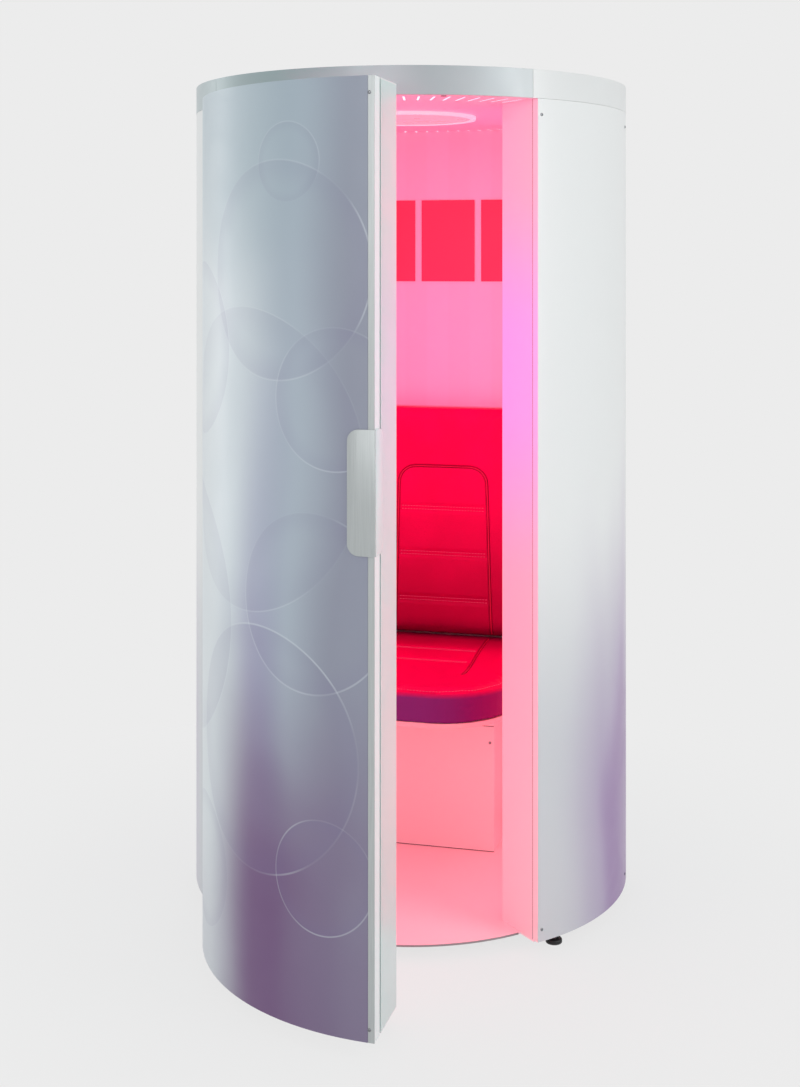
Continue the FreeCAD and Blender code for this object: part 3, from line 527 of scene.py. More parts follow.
def coatedFinish(name, color, roughness=0.35, metallic=0.0, peel=0.06, scale=260.0, drift=0.93,
                 coat=0.0, glow=(1.0, 1.0, 1.0, 1.0), glowStrength=0.0):
    # painted or moulded surface with a little peel, drift and handling marks
    material, tree, shader, place, surface = startMaterial(
        name, "coat", scale, Metallic=metallic, Coat_Weight=coat,
        Coat_Roughness=paint["coatRoughness"], Emission_Color=glow,
        Emission_Strength=glowStrength)
    complete(tree, shader, drifting(tree, surface, srgb(*color), drift),
             handled(tree, place, roughness, *paint["rough"]), surface, peel, paint["depth"])
    return material


brushing = {"scale": 900.0, "tone": 0.9, "rough": (0.85, 1.25), "marks": 14.0, "depth": 0.0005}


def metalFinish(name, color, roughness=0.3, metallic=1.0, lines=0.05):
    look = brushing
    material, tree, shader, place, surface = startMaterial(name, "brushed", look["scale"],
                                                           Metallic=metallic)
    complete(tree, shader, drifting(tree, surface, srgb(*color), look["tone"]),
             handled(tree, place, roughness, *look["rough"], look["marks"]), surface, lines,
             look["depth"])
    return material


def aboutBooth(tree, place):
    return useGroup(tree, "polar", Vector=place)


def aboutDoor(tree, place):
    # the booth's axis as the open door carries it
    hinge = joints["door_hinge"]
    pivot = Vector(hinge["pos_m"])
    opened = hinge["range_deg"][1]
    axis = pivot + turned(-opened) @ (-pivot)
    return useGroup(tree, "polar", Vector=place, Axis=(axis.x, axis.y, 0.0), Turn=opened)


# printed sheets on the door and the side panels

sheetFinish = {"peelScale": 320.0, "peel": 0.03, "marks": 5.0, "rough": (0.92, 1.12)}


def startSheet(name, look):
    return startMaterial(name, "coat", sheetFinish["peelScale"], Coat_Weight=look["coat"],
                         Coat_Roughness=look["coatRoughness"])


def finishSheet(tree, shader, place, surface, color, roughness):
    look = sheetFinish
    rough = handled(tree, place, roughness, *look["rough"], look["marks"])
    complete(tree, shader, color, rough, surface, look["peel"], paint["depth"])


doorPrint = {
    "roughness": 0.42,
    "coat": 0.2,
    "coatRoughness": 0.32,
    "radius": 0.57,
    "halfAngle": 45.3,
    "tones": {"silver": (222, 229, 232), "ice": (217, 226, 231), "mist": (184, 196, 207),
              "slate": (152, 156, 172), "sky": (163, 183, 193), "lavender": (148, 138, 186),
              "plum": (110, 68, 120), "rim": (224, 231, 236), "shade": (122, 114, 156)},
    # from the hinge side to the free edge; print with painted light in it: a painted highlight in
    # the pale silver band and painted shade in the slate towards the free edge
    "wash": [(0.0, "mist"), (0.16, "ice"), (0.40, "silver"), (0.58, "ice"), (0.76, "mist"),
             (0.93, "slate"), (1.0, "slate")],
    "cloudScale": 1.9,
    "cloudSpan": (0.25, 0.75),
    "sway": 0.035,
    "lift": 0.2,
    "lean": (0.0, 2.0, 0.02, -0.02),
    "skyLevels": (1.45, 1.92),
    "skyAcross": (0.95, 0.60, 0.12, 0.62),
    "ridgeRise": (0.54, 0.67),
    "ridgeFall": (0.80, 0.68),
    "lilacLevels": (1.5, 0.75),
    "lilac": 0.5,
    "plumRise": (0.40, 0.66),
    "plumFall": (1.02, 0.72, 0.5, 1.0),
    "hingeSide": (0.30, 0.12),
    "hingePlum": 0.7,
    "plumLevels": (1.04, 0.18),
    "plum": 0.92,
    "footLevels": (0.5, 0.05),
    "foot": 0.16,
    "veilScale": 4.2,
    "veil": (0.38, 0.62, 0.12, 1.0),
    "inside": 0.34,
    # across from the door's middle, height, radius, rim width, strength
    "bubbles": [(0.21, 1.63, 0.235, 0.0020, 0.36), (0.36, 1.36, 0.150, 0.0017, 0.32),
                (0.10, 1.22, 0.330, 0.0017, 0.28), (0.30, 0.93, 0.190, 0.0020, 0.32),
                (0.15, 0.60, 0.265, 0.0021, 0.42), (0.33, 0.36, 0.120, 0.0016, 0.38),
                (-0.16, 1.45, 0.200, 0.0018, 0.36), (-0.25, 0.85, 0.300, 0.0020, 0.36),
                (-0.12, 0.28, 0.150, 0.0018, 0.36), (0.24, 1.86, 0.085, 0.0015, 0.28)],
}


def makeDoorPrint():
    look = doorPrint
    tone = {key: srgb(*value) for key, value in look["tones"].items()}
    material, tree, shader, place, surface = startSheet("doorPrintedSheet", look)
    spot = aboutDoor(tree, place)
    height = spot["Height"]
    cloud = noise(tree, place, look["cloudScale"], 2.0)
    across = linear(tree, spot["Degrees"], -look["halfAngle"], look["halfAngle"])
    sway = linear(tree, cloud, *look["cloudSpan"], -look["sway"], look["sway"])
    share = maths(tree, "ADD", maths(tree, "ADD", across, sway),
                  linear(tree, height, *look["lean"]))
    lift = maths(tree, "ADD", height,
                 linear(tree, cloud, *look["cloudSpan"], -look["lift"], look["lift"]))

    # print wash that also holds a painted highlight and painted shade
    wash = ramped(tree, share, [(stop, tone[name]) for stop, name in look["wash"]])
    high = times(tree, ranged(tree, lift, *look["skyLevels"]),
                 ranged(tree, share, *look["skyAcross"]))
    wash = mixed(tree, high, wash, tone["sky"])
    lilac = times(tree, ranged(tree, share, *look["ridgeRise"]),
                  ranged(tree, share, *look["ridgeFall"]),
                  ranged(tree, lift, *look["lilacLevels"]), look["lilac"])
    wash = mixed(tree, lilac, wash, tone["lavender"])
    # plum haze that rises from the foot of the door
    body = times(tree, ranged(tree, share, *look["plumRise"]),
                 ranged(tree, share, *look["plumFall"]))
    side = times(tree, ranged(tree, share, *look["hingeSide"]), look["hingePlum"])
    rise = times(tree, maths(tree, "MAXIMUM", body, side),
                 ranged(tree, lift, *look["plumLevels"]), look["plum"])
    wash = mixed(tree, rise, wash, tone["plum"])
    foot = times(tree, ranged(tree, lift, *look["footLevels"]), look["foot"])
    wash = mixed(tree, foot, wash, tone["plum"])

    arc = times(tree, spot["Degrees"], math.radians(1.0) * look["radius"])
    veil = ranged(tree, noise(tree, place, look["veilScale"], 1.0), *look["veil"])
    for centre, level, radius, line, strength in look["bubbles"]:
        bubble = useGroup(tree, "bubble", Across=arc, Height=height, CentreAcross=centre,
                          CentreHeight=level, Radius=radius, Line=line)
        inside = times(tree, bubble["Inside"], strength * look["inside"])
        wash = mixed(tree, inside, wash, tone["shade"])
        wash = mixed(tree, times(tree, bubble["Rim"], veil, strength), wash, tone["rim"])
    finishSheet(tree, shader, place, surface, wash, look["roughness"])
    return material


# the glow takes another tone over the booth's middle heights, which the jambs and the doorway fold
# take as painted light
middleRise = (0.85, 1.30)
middleFall = (1.85, 1.45)


def middleHeights(tree, height):
    return times(tree, ranged(tree, height, *middleRise), ranged(tree, height, *middleFall))


sidePrint = {
    "white": srgb(231, 233, 232),
    "shade": srgb(200, 204, 208),
    "haze": srgb(154, 122, 174),
    "deep": srgb(134, 96, 152),
    "roughness": 0.36,
    "coat": 0.25,
    "coatRoughness": 0.2,
    "streakScale": 4.5,
    "streakHeight": 0.22,
    "sway": (-5.0, 5.0),
    "lift": (-0.16, 0.16),
    "shadeLevels": (1.05, 0.45),
    "shadeShare": 0.85,
    "angles": (49.0, 86.0),
    "fadeAngles": (92.0, 134.0, 1.0, 0.25),
    "levels": (1.12, 0.36),
    "deepFrom": (0.55, 1.0),
    "deepShare": 0.5,
    "foldRadius": 0.5692,
    # painted pink glow on the fold, as on the jambs
    "fold": srgb(251, 224, 228),
    "foldGlowMiddle": srgb(244, 214, 252),
}


def makeSidePrint(side):
    # white sheet with a purple haze that climbs from its foot in soft upright streaks
    look = sidePrint
    material, tree, shader, place, surface = startSheet(
        "sidePrintedSheet" + ("Right" if side > 0 else "Left"), look)
    spot = aboutBooth(tree, place)
    degrees = times(tree, spot["Degrees"], side)
    height = spot["Height"]
    streaks = noise(tree, stretched(tree, place, look["streakHeight"]), look["streakScale"], 1.0)
    sway = linear(tree, streaks, *spread, *look["sway"])
    lift = linear(tree, streaks, *spread, *look["lift"])
    # painted shade: greyer towards the foot
    grey = times(tree, ranged(tree, height, *look["shadeLevels"]), look["shadeShare"])
    color = mixed(tree, grey, look["white"], look["shade"])
    haze = times(tree, ranged(tree, maths(tree, "ADD", degrees, sway), *look["angles"]),
                 ranged(tree, degrees, *look["fadeAngles"]),
                 ranged(tree, maths(tree, "ADD", height, lift), *look["levels"]))
    color = mixed(tree, haze, color, look["haze"])
    deep = times(tree, ranged(tree, haze, *look["deepFrom"]), look["deepShare"])
    color = mixed(tree, deep, color, look["deep"])
    # the fold at the doorway gets the jamb's painted pink glow, lilac over the middle heights
    folded = maths(tree, "LESS_THAN", spot["Radius"], look["foldRadius"])
    foldGlow = mixed(tree, middleHeights(tree, height), look["fold"], look["foldGlowMiddle"])
    color = mixed(tree, folded, color, foldGlow)
    finishSheet(tree, shader, place, surface, color, look["roughness"])
    return material


# lining and light panels

glow = {
    # height as a share of 2 m, and the light's colour there
    "levels": [(0.12, (0.98, 0.37, 0.42, 1.0)), (0.36, (0.66, 0.22, 0.28, 1.0)),
               (0.50, (0.82, 0.25, 0.46, 1.0)), (0.68, (0.98, 0.25, 0.84, 1.0)),
               (0.92, (1.0, 0.29, 0.50, 1.0))],
    "strength": 1.0,
    "roughness": 0.38,
    "lampPitch": 6.5,
    "bandDepth": 0.16,
    "sheet": srgb(255, 196, 206),
    "sheetTone": 0.95,
    "sheetGrain": 700.0,
    "relief": (0.08, 0.0006),
}


def makeDiffuser():
    # frosted sheet with the lamps behind it as soft upright bands
    material, tree, shader, place, surface = startMaterial(
        "frostedDiffuser", "coat", glow["sheetGrain"], Emission_Strength=glow["strength"],
        Roughness=glow["roughness"])
    spot = aboutBooth(tree, place)
    wave = maths(tree, "SINE", times(tree, spot["Degrees"], 2.0 * math.pi / glow["lampPitch"]))
    band = linear(tree, wave, -1.0, 1.0, 1.0 - glow["bandDepth"], 1.0)
    pink = ramped(tree, times(tree, spot["Height"], 0.5), glow["levels"])
    lit = add(tree, "VectorMath", {0: pink, "Scale": band}, operation="SCALE")
    tree.links.new(lit.outputs[0], shader.inputs["Emission Color"])
    color = drifting(tree, surface, glow["sheet"], glow["sheetTone"])
    complete(tree, shader, color, None, surface, *glow["relief"])
    return material


lining = {
    "peelScale": 240.0,
    "peel": 0.03,
    "drift": 0.97,
    "marks": 3.0,
    "rough": (0.97, 1.06),
    "bandPitch": 0.13,
    "bandEdge": 0.3,
    "bandTone": 0.8,
}


def makeLining(name, base, roughness=0.3, faintBands=0.0, middle=None):
    # satin lining sheet, with a faint change of tone from panel to panel
    look = lining
    base = srgb(*base)
    material, tree, shader, place, surface = startMaterial(name, "coat", look["peelScale"])
    color = drifting(tree, surface, base, look["drift"])
    part = apart(tree, place)
    # painted light: the glow's lilac over the middle heights
    if middle:
        color = mixed(tree, middleHeights(tree, part["Z"]), color, srgb(*middle))
    if faintBands:
        wave = maths(tree, "SINE", times(tree, part["X"], 2.0 * math.pi / look["bandPitch"]))
        band = ranged(tree, wave, -look["bandEdge"], look["bandEdge"], 0.0, faintBands)
        color = mixed(tree, band, color, darker(base, look["bandTone"]))
    complete(tree, shader, color, handled(tree, place, roughness, *look["rough"], look["marks"]),
             surface, look["peel"], paint["depth"])
    return material


vinyl = {
    "red": srgb(232, 0, 88),
    "deep": srgb(220, 0, 82),
    # painted shade colour for the sewn creases
    "crease": srgb(52, 0, 20),
    "shaded": srgb(70, 0, 36),
    # painted shade of the seat's front border
    "bandPurple": srgb(122, 42, 118),
    "bandRed": srgb(136, 6, 94),
    "bandTop": 0.5475,
    "bandEdge": 0.5463,
    "bandFull": 0.5330,
    "bandShares": (0.75, 0.25),
    "bandTurn": (0.04, 0.28),
    "scale": 430.0,
    "rough": (0.3864, 0.4536),
    "relief": (0.16, 0.0006),
    "creaseShare": 0.35,
    "creaseTone": 0.55,
    "seamShare": 0.9,
    "specular": 0.07,
    # painted shade: axis, where the tone starts to deepen, where it is deepest, how deep it goes
    "backPaintedShade": (("Z", 1.03, 0.60, 0.45), ("Z", 0.625, 0.555, 0.55), ("X", 0.06, 0.27, 0.16)),
    "seatPaintedShade": (("Y", 0.16, 0.36, 0.5), ("Y", 0.34, 0.392, 0.6)),
}


def makeVinyl(name, paintedShade, withPaintedBandShade=False):
    look = vinyl
    material, tree, shader, place, surface = startMaterial(
        name, "leather", look["scale"], Specular_IOR_Level=look["specular"])
    color = mixed(tree, surface["Tone"], look["deep"], look["red"])
    color = mixed(tree, times(tree, surface["Crease"], look["creaseShare"]), color,
                  darker(look["deep"], look["creaseTone"]))
    part = apart(tree, place)
    # painted shade on the lower back, its right side, the seat's rear and where back and seat meet
    for axis, start, end, share in paintedShade:
        color = mixed(tree, ranged(tree, part[axis], start, end, 0.0, share), color,
                      look["shaded"])
    if withPaintedBandShade:
        # painted shade on the border below the front seam: a darker plum that turns bluer to the
        # left
        full, line = look["bandShares"]
        low = ranged(tree, part["Z"], look["bandTop"], look["bandFull"], 0.0, full)
        edge = ranged(tree, part["Z"], look["bandTop"], look["bandEdge"], 0.0, line)
        band = mixed(tree, ranged(tree, part["X"], *look["bandTurn"]), look["bandPurple"],
                     look["bandRed"])
        color = mixed(tree, maths(tree, "ADD", low, edge), color, band)
    # painted shade in the sewn creases
    seam = add(tree, "Attribute", attribute_name="seamShade").outputs["Fac"]
    color = mixed(tree, times(tree, seam, look["seamShare"]), color, look["crease"])
    rough = linear(tree, surface["Tone"], 0.0, 1.0, *look["rough"])
    complete(tree, shader, color, rough, surface, *look["relief"])
    return material


header = {
    # degrees round the booth and the tone of the silver there, with painted light and shade in it
    "tones": [(-135.0, (220, 224, 224)), (-70.0, (184, 194, 196)), (-32.0, (162, 178, 180)),
              (-8.0, (148, 176, 176)), (16.0, (160, 177, 178)), (32.0, (182, 191, 193)),
              (46.0, (197, 203, 204))],
    "metallic": 0.15,
    "flake": srgb(226, 230, 231),
    "flakeShare": 0.08,
    "flakeScale": 600.0,
    "peel": 0.03,
    "rough": (0.36, 0.48),
}


def makeHeaderSilverWithPaintedLight():
    # silver paint with painted light and shade: darkest near the front, where it is also tinted
    # green against the pink light, and lighter towards the right seam and the back
    look = header
    material, tree, shader, place, surface = startMaterial(
        "headerSilverPaintedLight", "coat", look["flakeScale"], Metallic=look["metallic"])
    share = linear(tree, aboutBooth(tree, place)["Degrees"], -180.0, 180.0)
    color = ramped(tree, share, [((angle + 180.0) / 360.0, srgb(*tone))
                                 for angle, tone in look["tones"]])
    color = mixed(tree, times(tree, surface["Tone"], look["flakeShare"]), color, look["flake"])
    complete(tree, shader, color, handled(tree, place, 1.0, *look["rough"]), surface,
             look["peel"], paint["depth"])
    return material


edgeLeg = {"front": srgb(190, 195, 195), "radius": 0.5684, "roughness": 0.4, "metallic": 0.4,
           "lines": 0.05}


def makeFoldedMetal(name, paintedLightLegTone):
    # brushed aluminium in front; the leg that is folded inwards gets a paler, greener tone,
    # painted light that brightens it and cancels the pink light falling on it
    look = edgeLeg
    material, tree, shader, place, surface = startMaterial(
        name, "brushed", brushing["scale"], Roughness=look["roughness"])
    front = drifting(tree, surface, look["front"], brushing["tone"])
    leg = maths(tree, "LESS_THAN", aboutDoor(tree, place)["Radius"], look["radius"])
    tree.links.new(linear(tree, leg, 0.0, 1.0, look["metallic"], 0.0), shader.inputs["Metallic"])
    complete(tree, shader, mixed(tree, leg, front, srgb(*paintedLightLegTone)), None, surface,
             look["lines"], brushing["depth"])
    return material


# painted light: the white lining, wall and jambs carry the glow's pink in their colour, and the
# jambs its lilac over the middle heights
glowPaintedPink = (252, 216, 223)
glowPaintedLilac = (243, 202, 252)
finishes = {
    "shell_white": coatedFinish("stovedWhite", (228, 230, 229), 0.34, coat=0.2),
    "door_print": makeDoorPrint(),
    "header_silver": coatedFinish("silverPaint", (196, 202, 203), 0.30, metallic=0.55, peel=0.03,
                                  scale=600.0, drift=0.95),
    "frame_steel": metalFinish("zincPlate", (176, 180, 184), 0.45, lines=0.03),
    "lining": makeLining("cabinLining", glowPaintedPink),
    "diffuser": makeDiffuser(),
    "upholstery": makeVinyl("cabinVinyl", vinyl["backPaintedShade"]),
    "board": coatedFinish("stainedPly", (86, 20, 40), 0.6, peel=0.2, scale=120.0, drift=0.7),
    "lamp_glass": coatedFinish("lampGlass", (250, 214, 220), 0.15, peel=0.0,
                               glow=(1.0, 0.4, 0.5, 1.0), glowStrength=0.6),
    "white_plastic": coatedFinish("whitePlastic", (236, 232, 232), 0.4, peel=0.05),
    "reflector": metalFinish("reflectorFoil", (220, 222, 224), 0.2, lines=0.02),
    "aluminium": metalFinish("satinAluminium", (190, 195, 195), 0.4, metallic=0.4),
    "card": makeLining("redCard", (255, 62, 96), roughness=0.45),
    "foot_black": coatedFinish("footBlack", (26, 26, 28), 0.5, peel=0.15),
    "bronze": metalFinish("oiledBronze", (158, 118, 70), 0.35),
    "black_plastic": coatedFinish("blackPlastic", (30, 31, 33), 0.45, peel=0.12),
    "fastener": metalFinish("platedScrew", (142, 144, 148), 0.3),
    "grey_plastic": coatedFinish("greyPlastic", (150, 152, 156), 0.42, peel=0.1),
    "magnet": metalFinish("magnetSteel", (96, 98, 102), 0.28),
    "green_button": coatedFinish("greenCap", (40, 168, 92), 0.3, peel=0.03),
    "red_button": coatedFinish("redCap", (204, 34, 40), 0.3, peel=0.03),
}
special = {
    "door_edge_strip": makeFoldedMetal("edgeStripMetal", (236, 243, 242)),
    "base_plate": makeLining("floorLining", (253, 227, 231)),
    "kick_panel": makeLining("kickLining", (244, 219, 223)),
    "rear_wall": makeLining("wallLining", glowPaintedPink, faintBands=0.16),
    # the boards' pink is painted glow, made darker as painted shade under the seat
    "upholstery_boards": makeLining("boardPaintedShadePink", (250, 187, 193)),
    "right_jamb": makeLining("jambLining", glowPaintedPink, middle=glowPaintedLilac),
    "left_jamb": makeLining("jambLiningLeft", glowPaintedPink, middle=glowPaintedLilac),
    # the stile's white is tinted green, a painted correction for the pink light that falls on it
    "door_free_stile": coatedFinish("stileTintAgainstPinkLight", (210, 226, 223), 0.34, coat=0.2),
    # the ceiling disc and its white rim are no lamps: their glow is painted light
    "ceiling_disc": coatedFinish("discPaintedGlow", (255, 206, 214), 0.3, peel=0.02,
                                 glow=(1.0, 0.22, 0.15, 1.0), glowStrength=0.62),
    "ceiling_disc_rim": coatedFinish("discRimPaintedGlow", (255, 232, 236), 0.3, peel=0.02,
                                     glow=(1.0, 0.50, 0.48, 1.0), glowStrength=0.52),
    "header_front": makeHeaderSilverWithPaintedLight(),
    "header_left": makeHeaderSilverWithPaintedLight(),
    "header_right": finishes["shell_white"],
    "header_rear": finishes["shell_white"],
    "right_side_panel": makeSidePrint(1.0),
    "left_side_panel": makeSidePrint(-1.0),
}

for name, obj in nodes.items():
    slot = obj.data.materials[0].name.split(".")[0]
    obj.data.materials[0] = special.get(name, finishes[slot])
print("materials ready")


# padded pieces

padding = {
    "voxel": 0.006,
    "pressure": 4.0,
    "mass": 0.3,
    "quality": 5,
    "frames": 20,
    "cap": 0.009,
}


def inflate(obj):
    rest = [vertex.co.copy() for vertex in obj.data.vertices]
    pick(obj)
    cloth = obj.modifiers.new("padding", "CLOTH")
    cloth.settings.quality = padding["quality"]
    cloth.settings.mass = padding["mass"]
    cloth.settings.use_pressure = True
    cloth.settings.uniform_pressure_force = padding["pressure"]
    cloth.settings.effector_weights.gravity = 0.0
    cloth.collision_settings.use_collision = False
    cloth.point_cache.frame_start = 1
    cloth.point_cache.frame_end = padding["frames"]
    for number in range(1, padding["frames"] + 1):
        bpy.context.scene.frame_set(number)
    bpy.ops.object.modifier_apply(modifier=cloth.name)
    bpy.context.scene.frame_set(1)
    for vertex, before in zip(obj.data.vertices, rest):
        move = vertex.co - before
        if move.length > padding["cap"]:
            vertex.co = before + move.normalized() * padding["cap"]


def fillOut(obj):
    pick(obj)
    obj.data.remesh_voxel_size = padding["voxel"]
    obj.data.remesh_voxel_adaptivity = 0.0
    bpy.ops.object.voxel_remesh()
    inflate(obj)
    useModifier(obj, "SUBSURF", levels=1, render_levels=1)
    return obj


def smoothStep(value, low, high):
    share = min(1.0, max(0.0, (value - low) / (high - low)))
    return share * share * (3.0 - 2.0 * share)


def nearPath(points, width):
    # distance from a place to a path of straight runs, as a function that stops at a width
    low = Vector([min(p[i] for p in points) - width for i in range(3)])
    high = Vector([max(p[i] for p in points) + width for i in range(3)])

    def away(place):
        if any(place[i] < low[i] or place[i] > high[i] for i in range(3)):
            return width
        best = width
        for first, second in zip(points, points[1:]):
            along = second - first
            share = (place - first).dot(along) / max(along.length_squared, 1e-12)
            share = min(1.0, max(0.0, share))
            best = min(best, (place - first - along * share).length)
        return best
    return away


def pressIn(obj, test, paths, inward):
    # sewn valleys: each path has its own depth and half width
    finders = [(nearPath(points, width), depth, width) for points, depth, width in paths]
    moved = {}
    for vertex in obj.data.vertices:
        if test(vertex):
            push = max(depth * (1.0 - smoothStep(away(vertex.co), 0.0, width))
                       for away, depth, width in finders)
            if push > 0.0:
                moved[vertex.index] = vertex.co + inward * push
    for index, place in moved.items():
        obj.data.vertices[index].co = place


def shadeSeam(obj, test, points, width, strength):
    # painted shade: darkens the crease along a path
    away = nearPath(points, width)
    core = sewing["shadeCore"]
    values = obj.data.attributes["seamShade"].data
    for vertex in obj.data.vertices:
        if test(vertex):
            shade = strength * (1.0 - smoothStep(away(vertex.co), width * core, width))
            if shade > 0.0:
                values[vertex.index].value = max(values[vertex.index].value, shade)


def surfaceOf(obj, start, inward):
    # carries flat points onto the padded surface, and lifts them off it
    tree = BVHTree.FromObject(obj, bpy.context.evaluated_depsgraph_get())

    def hit(origin, way):
        place = tree.ray_cast(origin, way)[0]
        return place if place is not None else origin

    def laid(points, lift=0.0):
        return [hit(start(*point), inward) - inward * lift for point in points]
    return hit, laid


def spaced(points, step):
    # places along a path at an even step, with the direction at each
    places, directions = [], []
    carried = step / 2.0
    for first, second in zip(points, points[1:]):
        length = (second - first).length
        if length < 1e-9:
            continue
        along = (second - first) / length
        while carried <= length:
            places.append(first + along * carried)
            directions.append(along)
            carried += step
        carried -= length
    return places, directions


sewing = {
    "threadSpacing": 0.009,
    "stitchPitch": 0.0085,
    "stitchLength": 0.0062,
    "stitchRadius": 0.0009,
    "stitchLift": 0.0004,
    "rowDepth": 0.0030,
    "rowWidth": 0.013,
    "pipingRadius": 0.0021,
    "pipingLift": 0.0012,
    "pipingDepth": 0.0042,
    "pipingWidth": 0.0078,
    "edgeDepth": 0.0022,
    "edgeWidth": 0.006,
    "shadeWidth": 0.0068,
    "shadeCore": 0.35,
    "shade": 0.9,
    "rowSteps": 12,
    "seamSteps": 16,
}


def tubeAlong(name, points, radius):
    # a round welt along a smooth path
    clearSelection()
    bpy.ops.curve.primitive_nurbs_path_add()
    bpy.context.object.name = name
    curve = bpy.context.object.data
    curve.splines.clear()
    spline = curve.splines.new("NURBS")
    spline.points.add(len(points) - 1)
    for item, place in zip(spline.points, points):
        item.co = (place[0], place[1], place[2], 1.0)
    spline.order_u = 3
    spline.use_endpoint_u = True
    spline.resolution_u = 3
    curve.dimensions = "3D"
    curve.bevel_depth = radius
    curve.bevel_resolution = 4
    curve.use_fill_caps = True
    bpy.ops.object.convert(target="MESH")
    return bpy.context.object


def stitchAlong(name, paths):
    # one thread loop, modelled once and copied along the rows
    clearSelection()
    bpy.ops.mesh.primitive_uv_sphere_add(segments=6, ring_count=5, radius=1.0)
    first = bpy.context.object
    first.scale = (sewing["stitchLength"] / 2.0, sewing["stitchRadius"], sewing["stitchRadius"])
    settle(first)
    copies = []
    for path in paths:
        for place, direction in zip(*spaced(path, sewing["stitchPitch"])):
            turn = direction.to_track_quat("X", "Z").to_matrix().to_4x4()
            copies.append(copyTo(first, Matrix.Translation(place) @ turn))
    bpy.data.objects.remove(first)
    obj = joined(name, copies)
    settle(obj)
    return obj


def straightRow(reach, level, steps):
    return [(-reach + 2.0 * reach * step / steps, level) for step in range(steps + 1)]


def doubleRows(levels):
    # two rows of thread side by side at each level, with the reach to either side
    return [straightRow(reach, level + offset * sewing["threadSpacing"], sewing["rowSteps"])
            for level, reach in levels for offset in (-0.5, 0.5)]


def pressSeams(cushion, surface, inward, test, welts, rows, seams=(), shadeEnd=None):
    sew = sewing
    laid = surface[1]
    cushion.data.attributes.new("seamShade", "FLOAT", "POINT")
    paths = [(laid(points), sew[kind + "Depth"], sew[kind + "Width"])
             for kind, group in (("piping", welts), ("row", rows), ("edge", seams))
             for points in group]
    pressIn(cushion, test, paths, inward)
    for points in welts:
        shadeSeam(cushion, test, laid(points[:shadeEnd], -sew["pipingDepth"]), sew["shadeWidth"],
                  sew["shade"])


def addPiping(name, laid, welts, dips=()):
    # the ends of a welt dip into the seam
    tubes = []
    for number, points in enumerate(welts):
        places = laid(points, sewing["pipingLift"])
        for index, dip in dips:
            places[index].z -= dip
        tubes.append(tubeAlong(name + str(number), places, sewing["pipingRadius"]))
    return joined(name, tubes)


seatPad = {
    "bottom": 0.4733,
    "front": -0.204,
    "rear": 0.445,
    "half": 0.290,
    "rearHalf": 0.262,
    "straightEnd": 0.262,
    "narrowStart": 0.304,
    "cornerRadius": 0.200,
    "cornerSteps": 12,
    "edgeInset": 0.005,
    "startTop": 0.550,
    "lookFrom": 0.7,
    "sewnDepth": 0.022,
    "welt": ((0.1365, 0.384), (0.1355, 0.35), (0.1380, 0.26), (0.1425, 0.16), (0.1470, 0.08),
             (0.1485, 0.03), (0.1480, 0.0), (0.1455, -0.016), (0.1410, -0.027)),
    "weltDips": ((-1, 0.006), (-2, 0.001)),
    "rows": ((0.235, 0.126), (0.110, 0.133)),
    "seamDrop": 0.0085,
    "seamEnd": 0.40,
    "borderLift": 0.0012,
    "borderCentre": 0.10,
    "borderSteps": 4,
    "borderLook": 0.05,
    "borderOut": 0.0003,
}


def seatOutline(inset):
    # the bench outline seen from above, from the rear right, round the front, to the rear left
    pad = seatPad
    half = pad["half"] - inset
    rearHalf = pad["rearHalf"] - inset
    radius = pad["cornerRadius"] - inset
    front = pad["front"] + inset
    right = [Vector((rearHalf, pad["rear"] - inset)), Vector((rearHalf, pad["narrowStart"])),
             Vector((half, pad["straightEnd"]))]
    for step in range(pad["cornerSteps"] + 1):
        a = math.radians(90.0 * step / pad["cornerSteps"])
        right.append(Vector((half - radius + radius * math.cos(a),
                             front + radius - radius * math.sin(a))))
    return right + [Vector((-p.x, p.y)) for p in reversed(right)]


def makeSeatCushion():
    pad = seatPad
    outline = seatOutline(pad["edgeInset"])
    clearSelection()
    bpy.ops.mesh.primitive_circle_add(vertices=len(outline), radius=0.2, fill_type="NGON",
                                      location=(0, 0, 0))
    obj = bpy.context.object
    obj.name = "seatCushion"
    for vertex, place in zip(obj.data.vertices, outline):
        vertex.co = (place.x, place.y, pad["bottom"])
    edit(obj)
    bpy.ops.mesh.extrude_region_move(
        TRANSFORM_OT_translate={"value": (0, 0, pad["startTop"] - pad["bottom"])})
    leaveEdit()
    settle(obj)
    return fillOut(obj)


def pressBorder(cushion, level):
    # the seam where the border meets the top
    moved = {}
    for vertex in cushion.data.vertices:
        away = abs(vertex.co.z - level)
        flat = Vector((vertex.normal.x, vertex.normal.y, 0.0))
        if away < sewing["edgeWidth"] and vertex.co.y < seatPad["seamEnd"] and flat.length > 0.5:
            share = 1.0 - smoothStep(away, 0.0, sewing["edgeWidth"])
            moved[vertex.index] = vertex.co - flat.normalized() * sewing["edgeDepth"] * share
    for index, place in moved.items():
        cushion.data.vertices[index].co = place


def borderPath(hit, level):
    # the border seam's thread, just above the seam all round the front
    outline = [p for p in seatOutline(0.0) if p.y < seatPad["straightEnd"]]
    level += seatPad["borderLift"]
    centre = Vector((0.0, seatPad["borderCentre"], level))
    path = []
    for point, following in zip(outline, outline[1:]):
        for step in range(seatPad["borderSteps"]):
            spot = point.lerp(following, step / seatPad["borderSteps"])
            start = Vector((spot.x, spot.y, level))
            outward = (start - centre).normalized()
            path.append(hit(start + outward * seatPad["borderLook"], -outward)
                        + outward * seatPad["borderOut"])
    return path


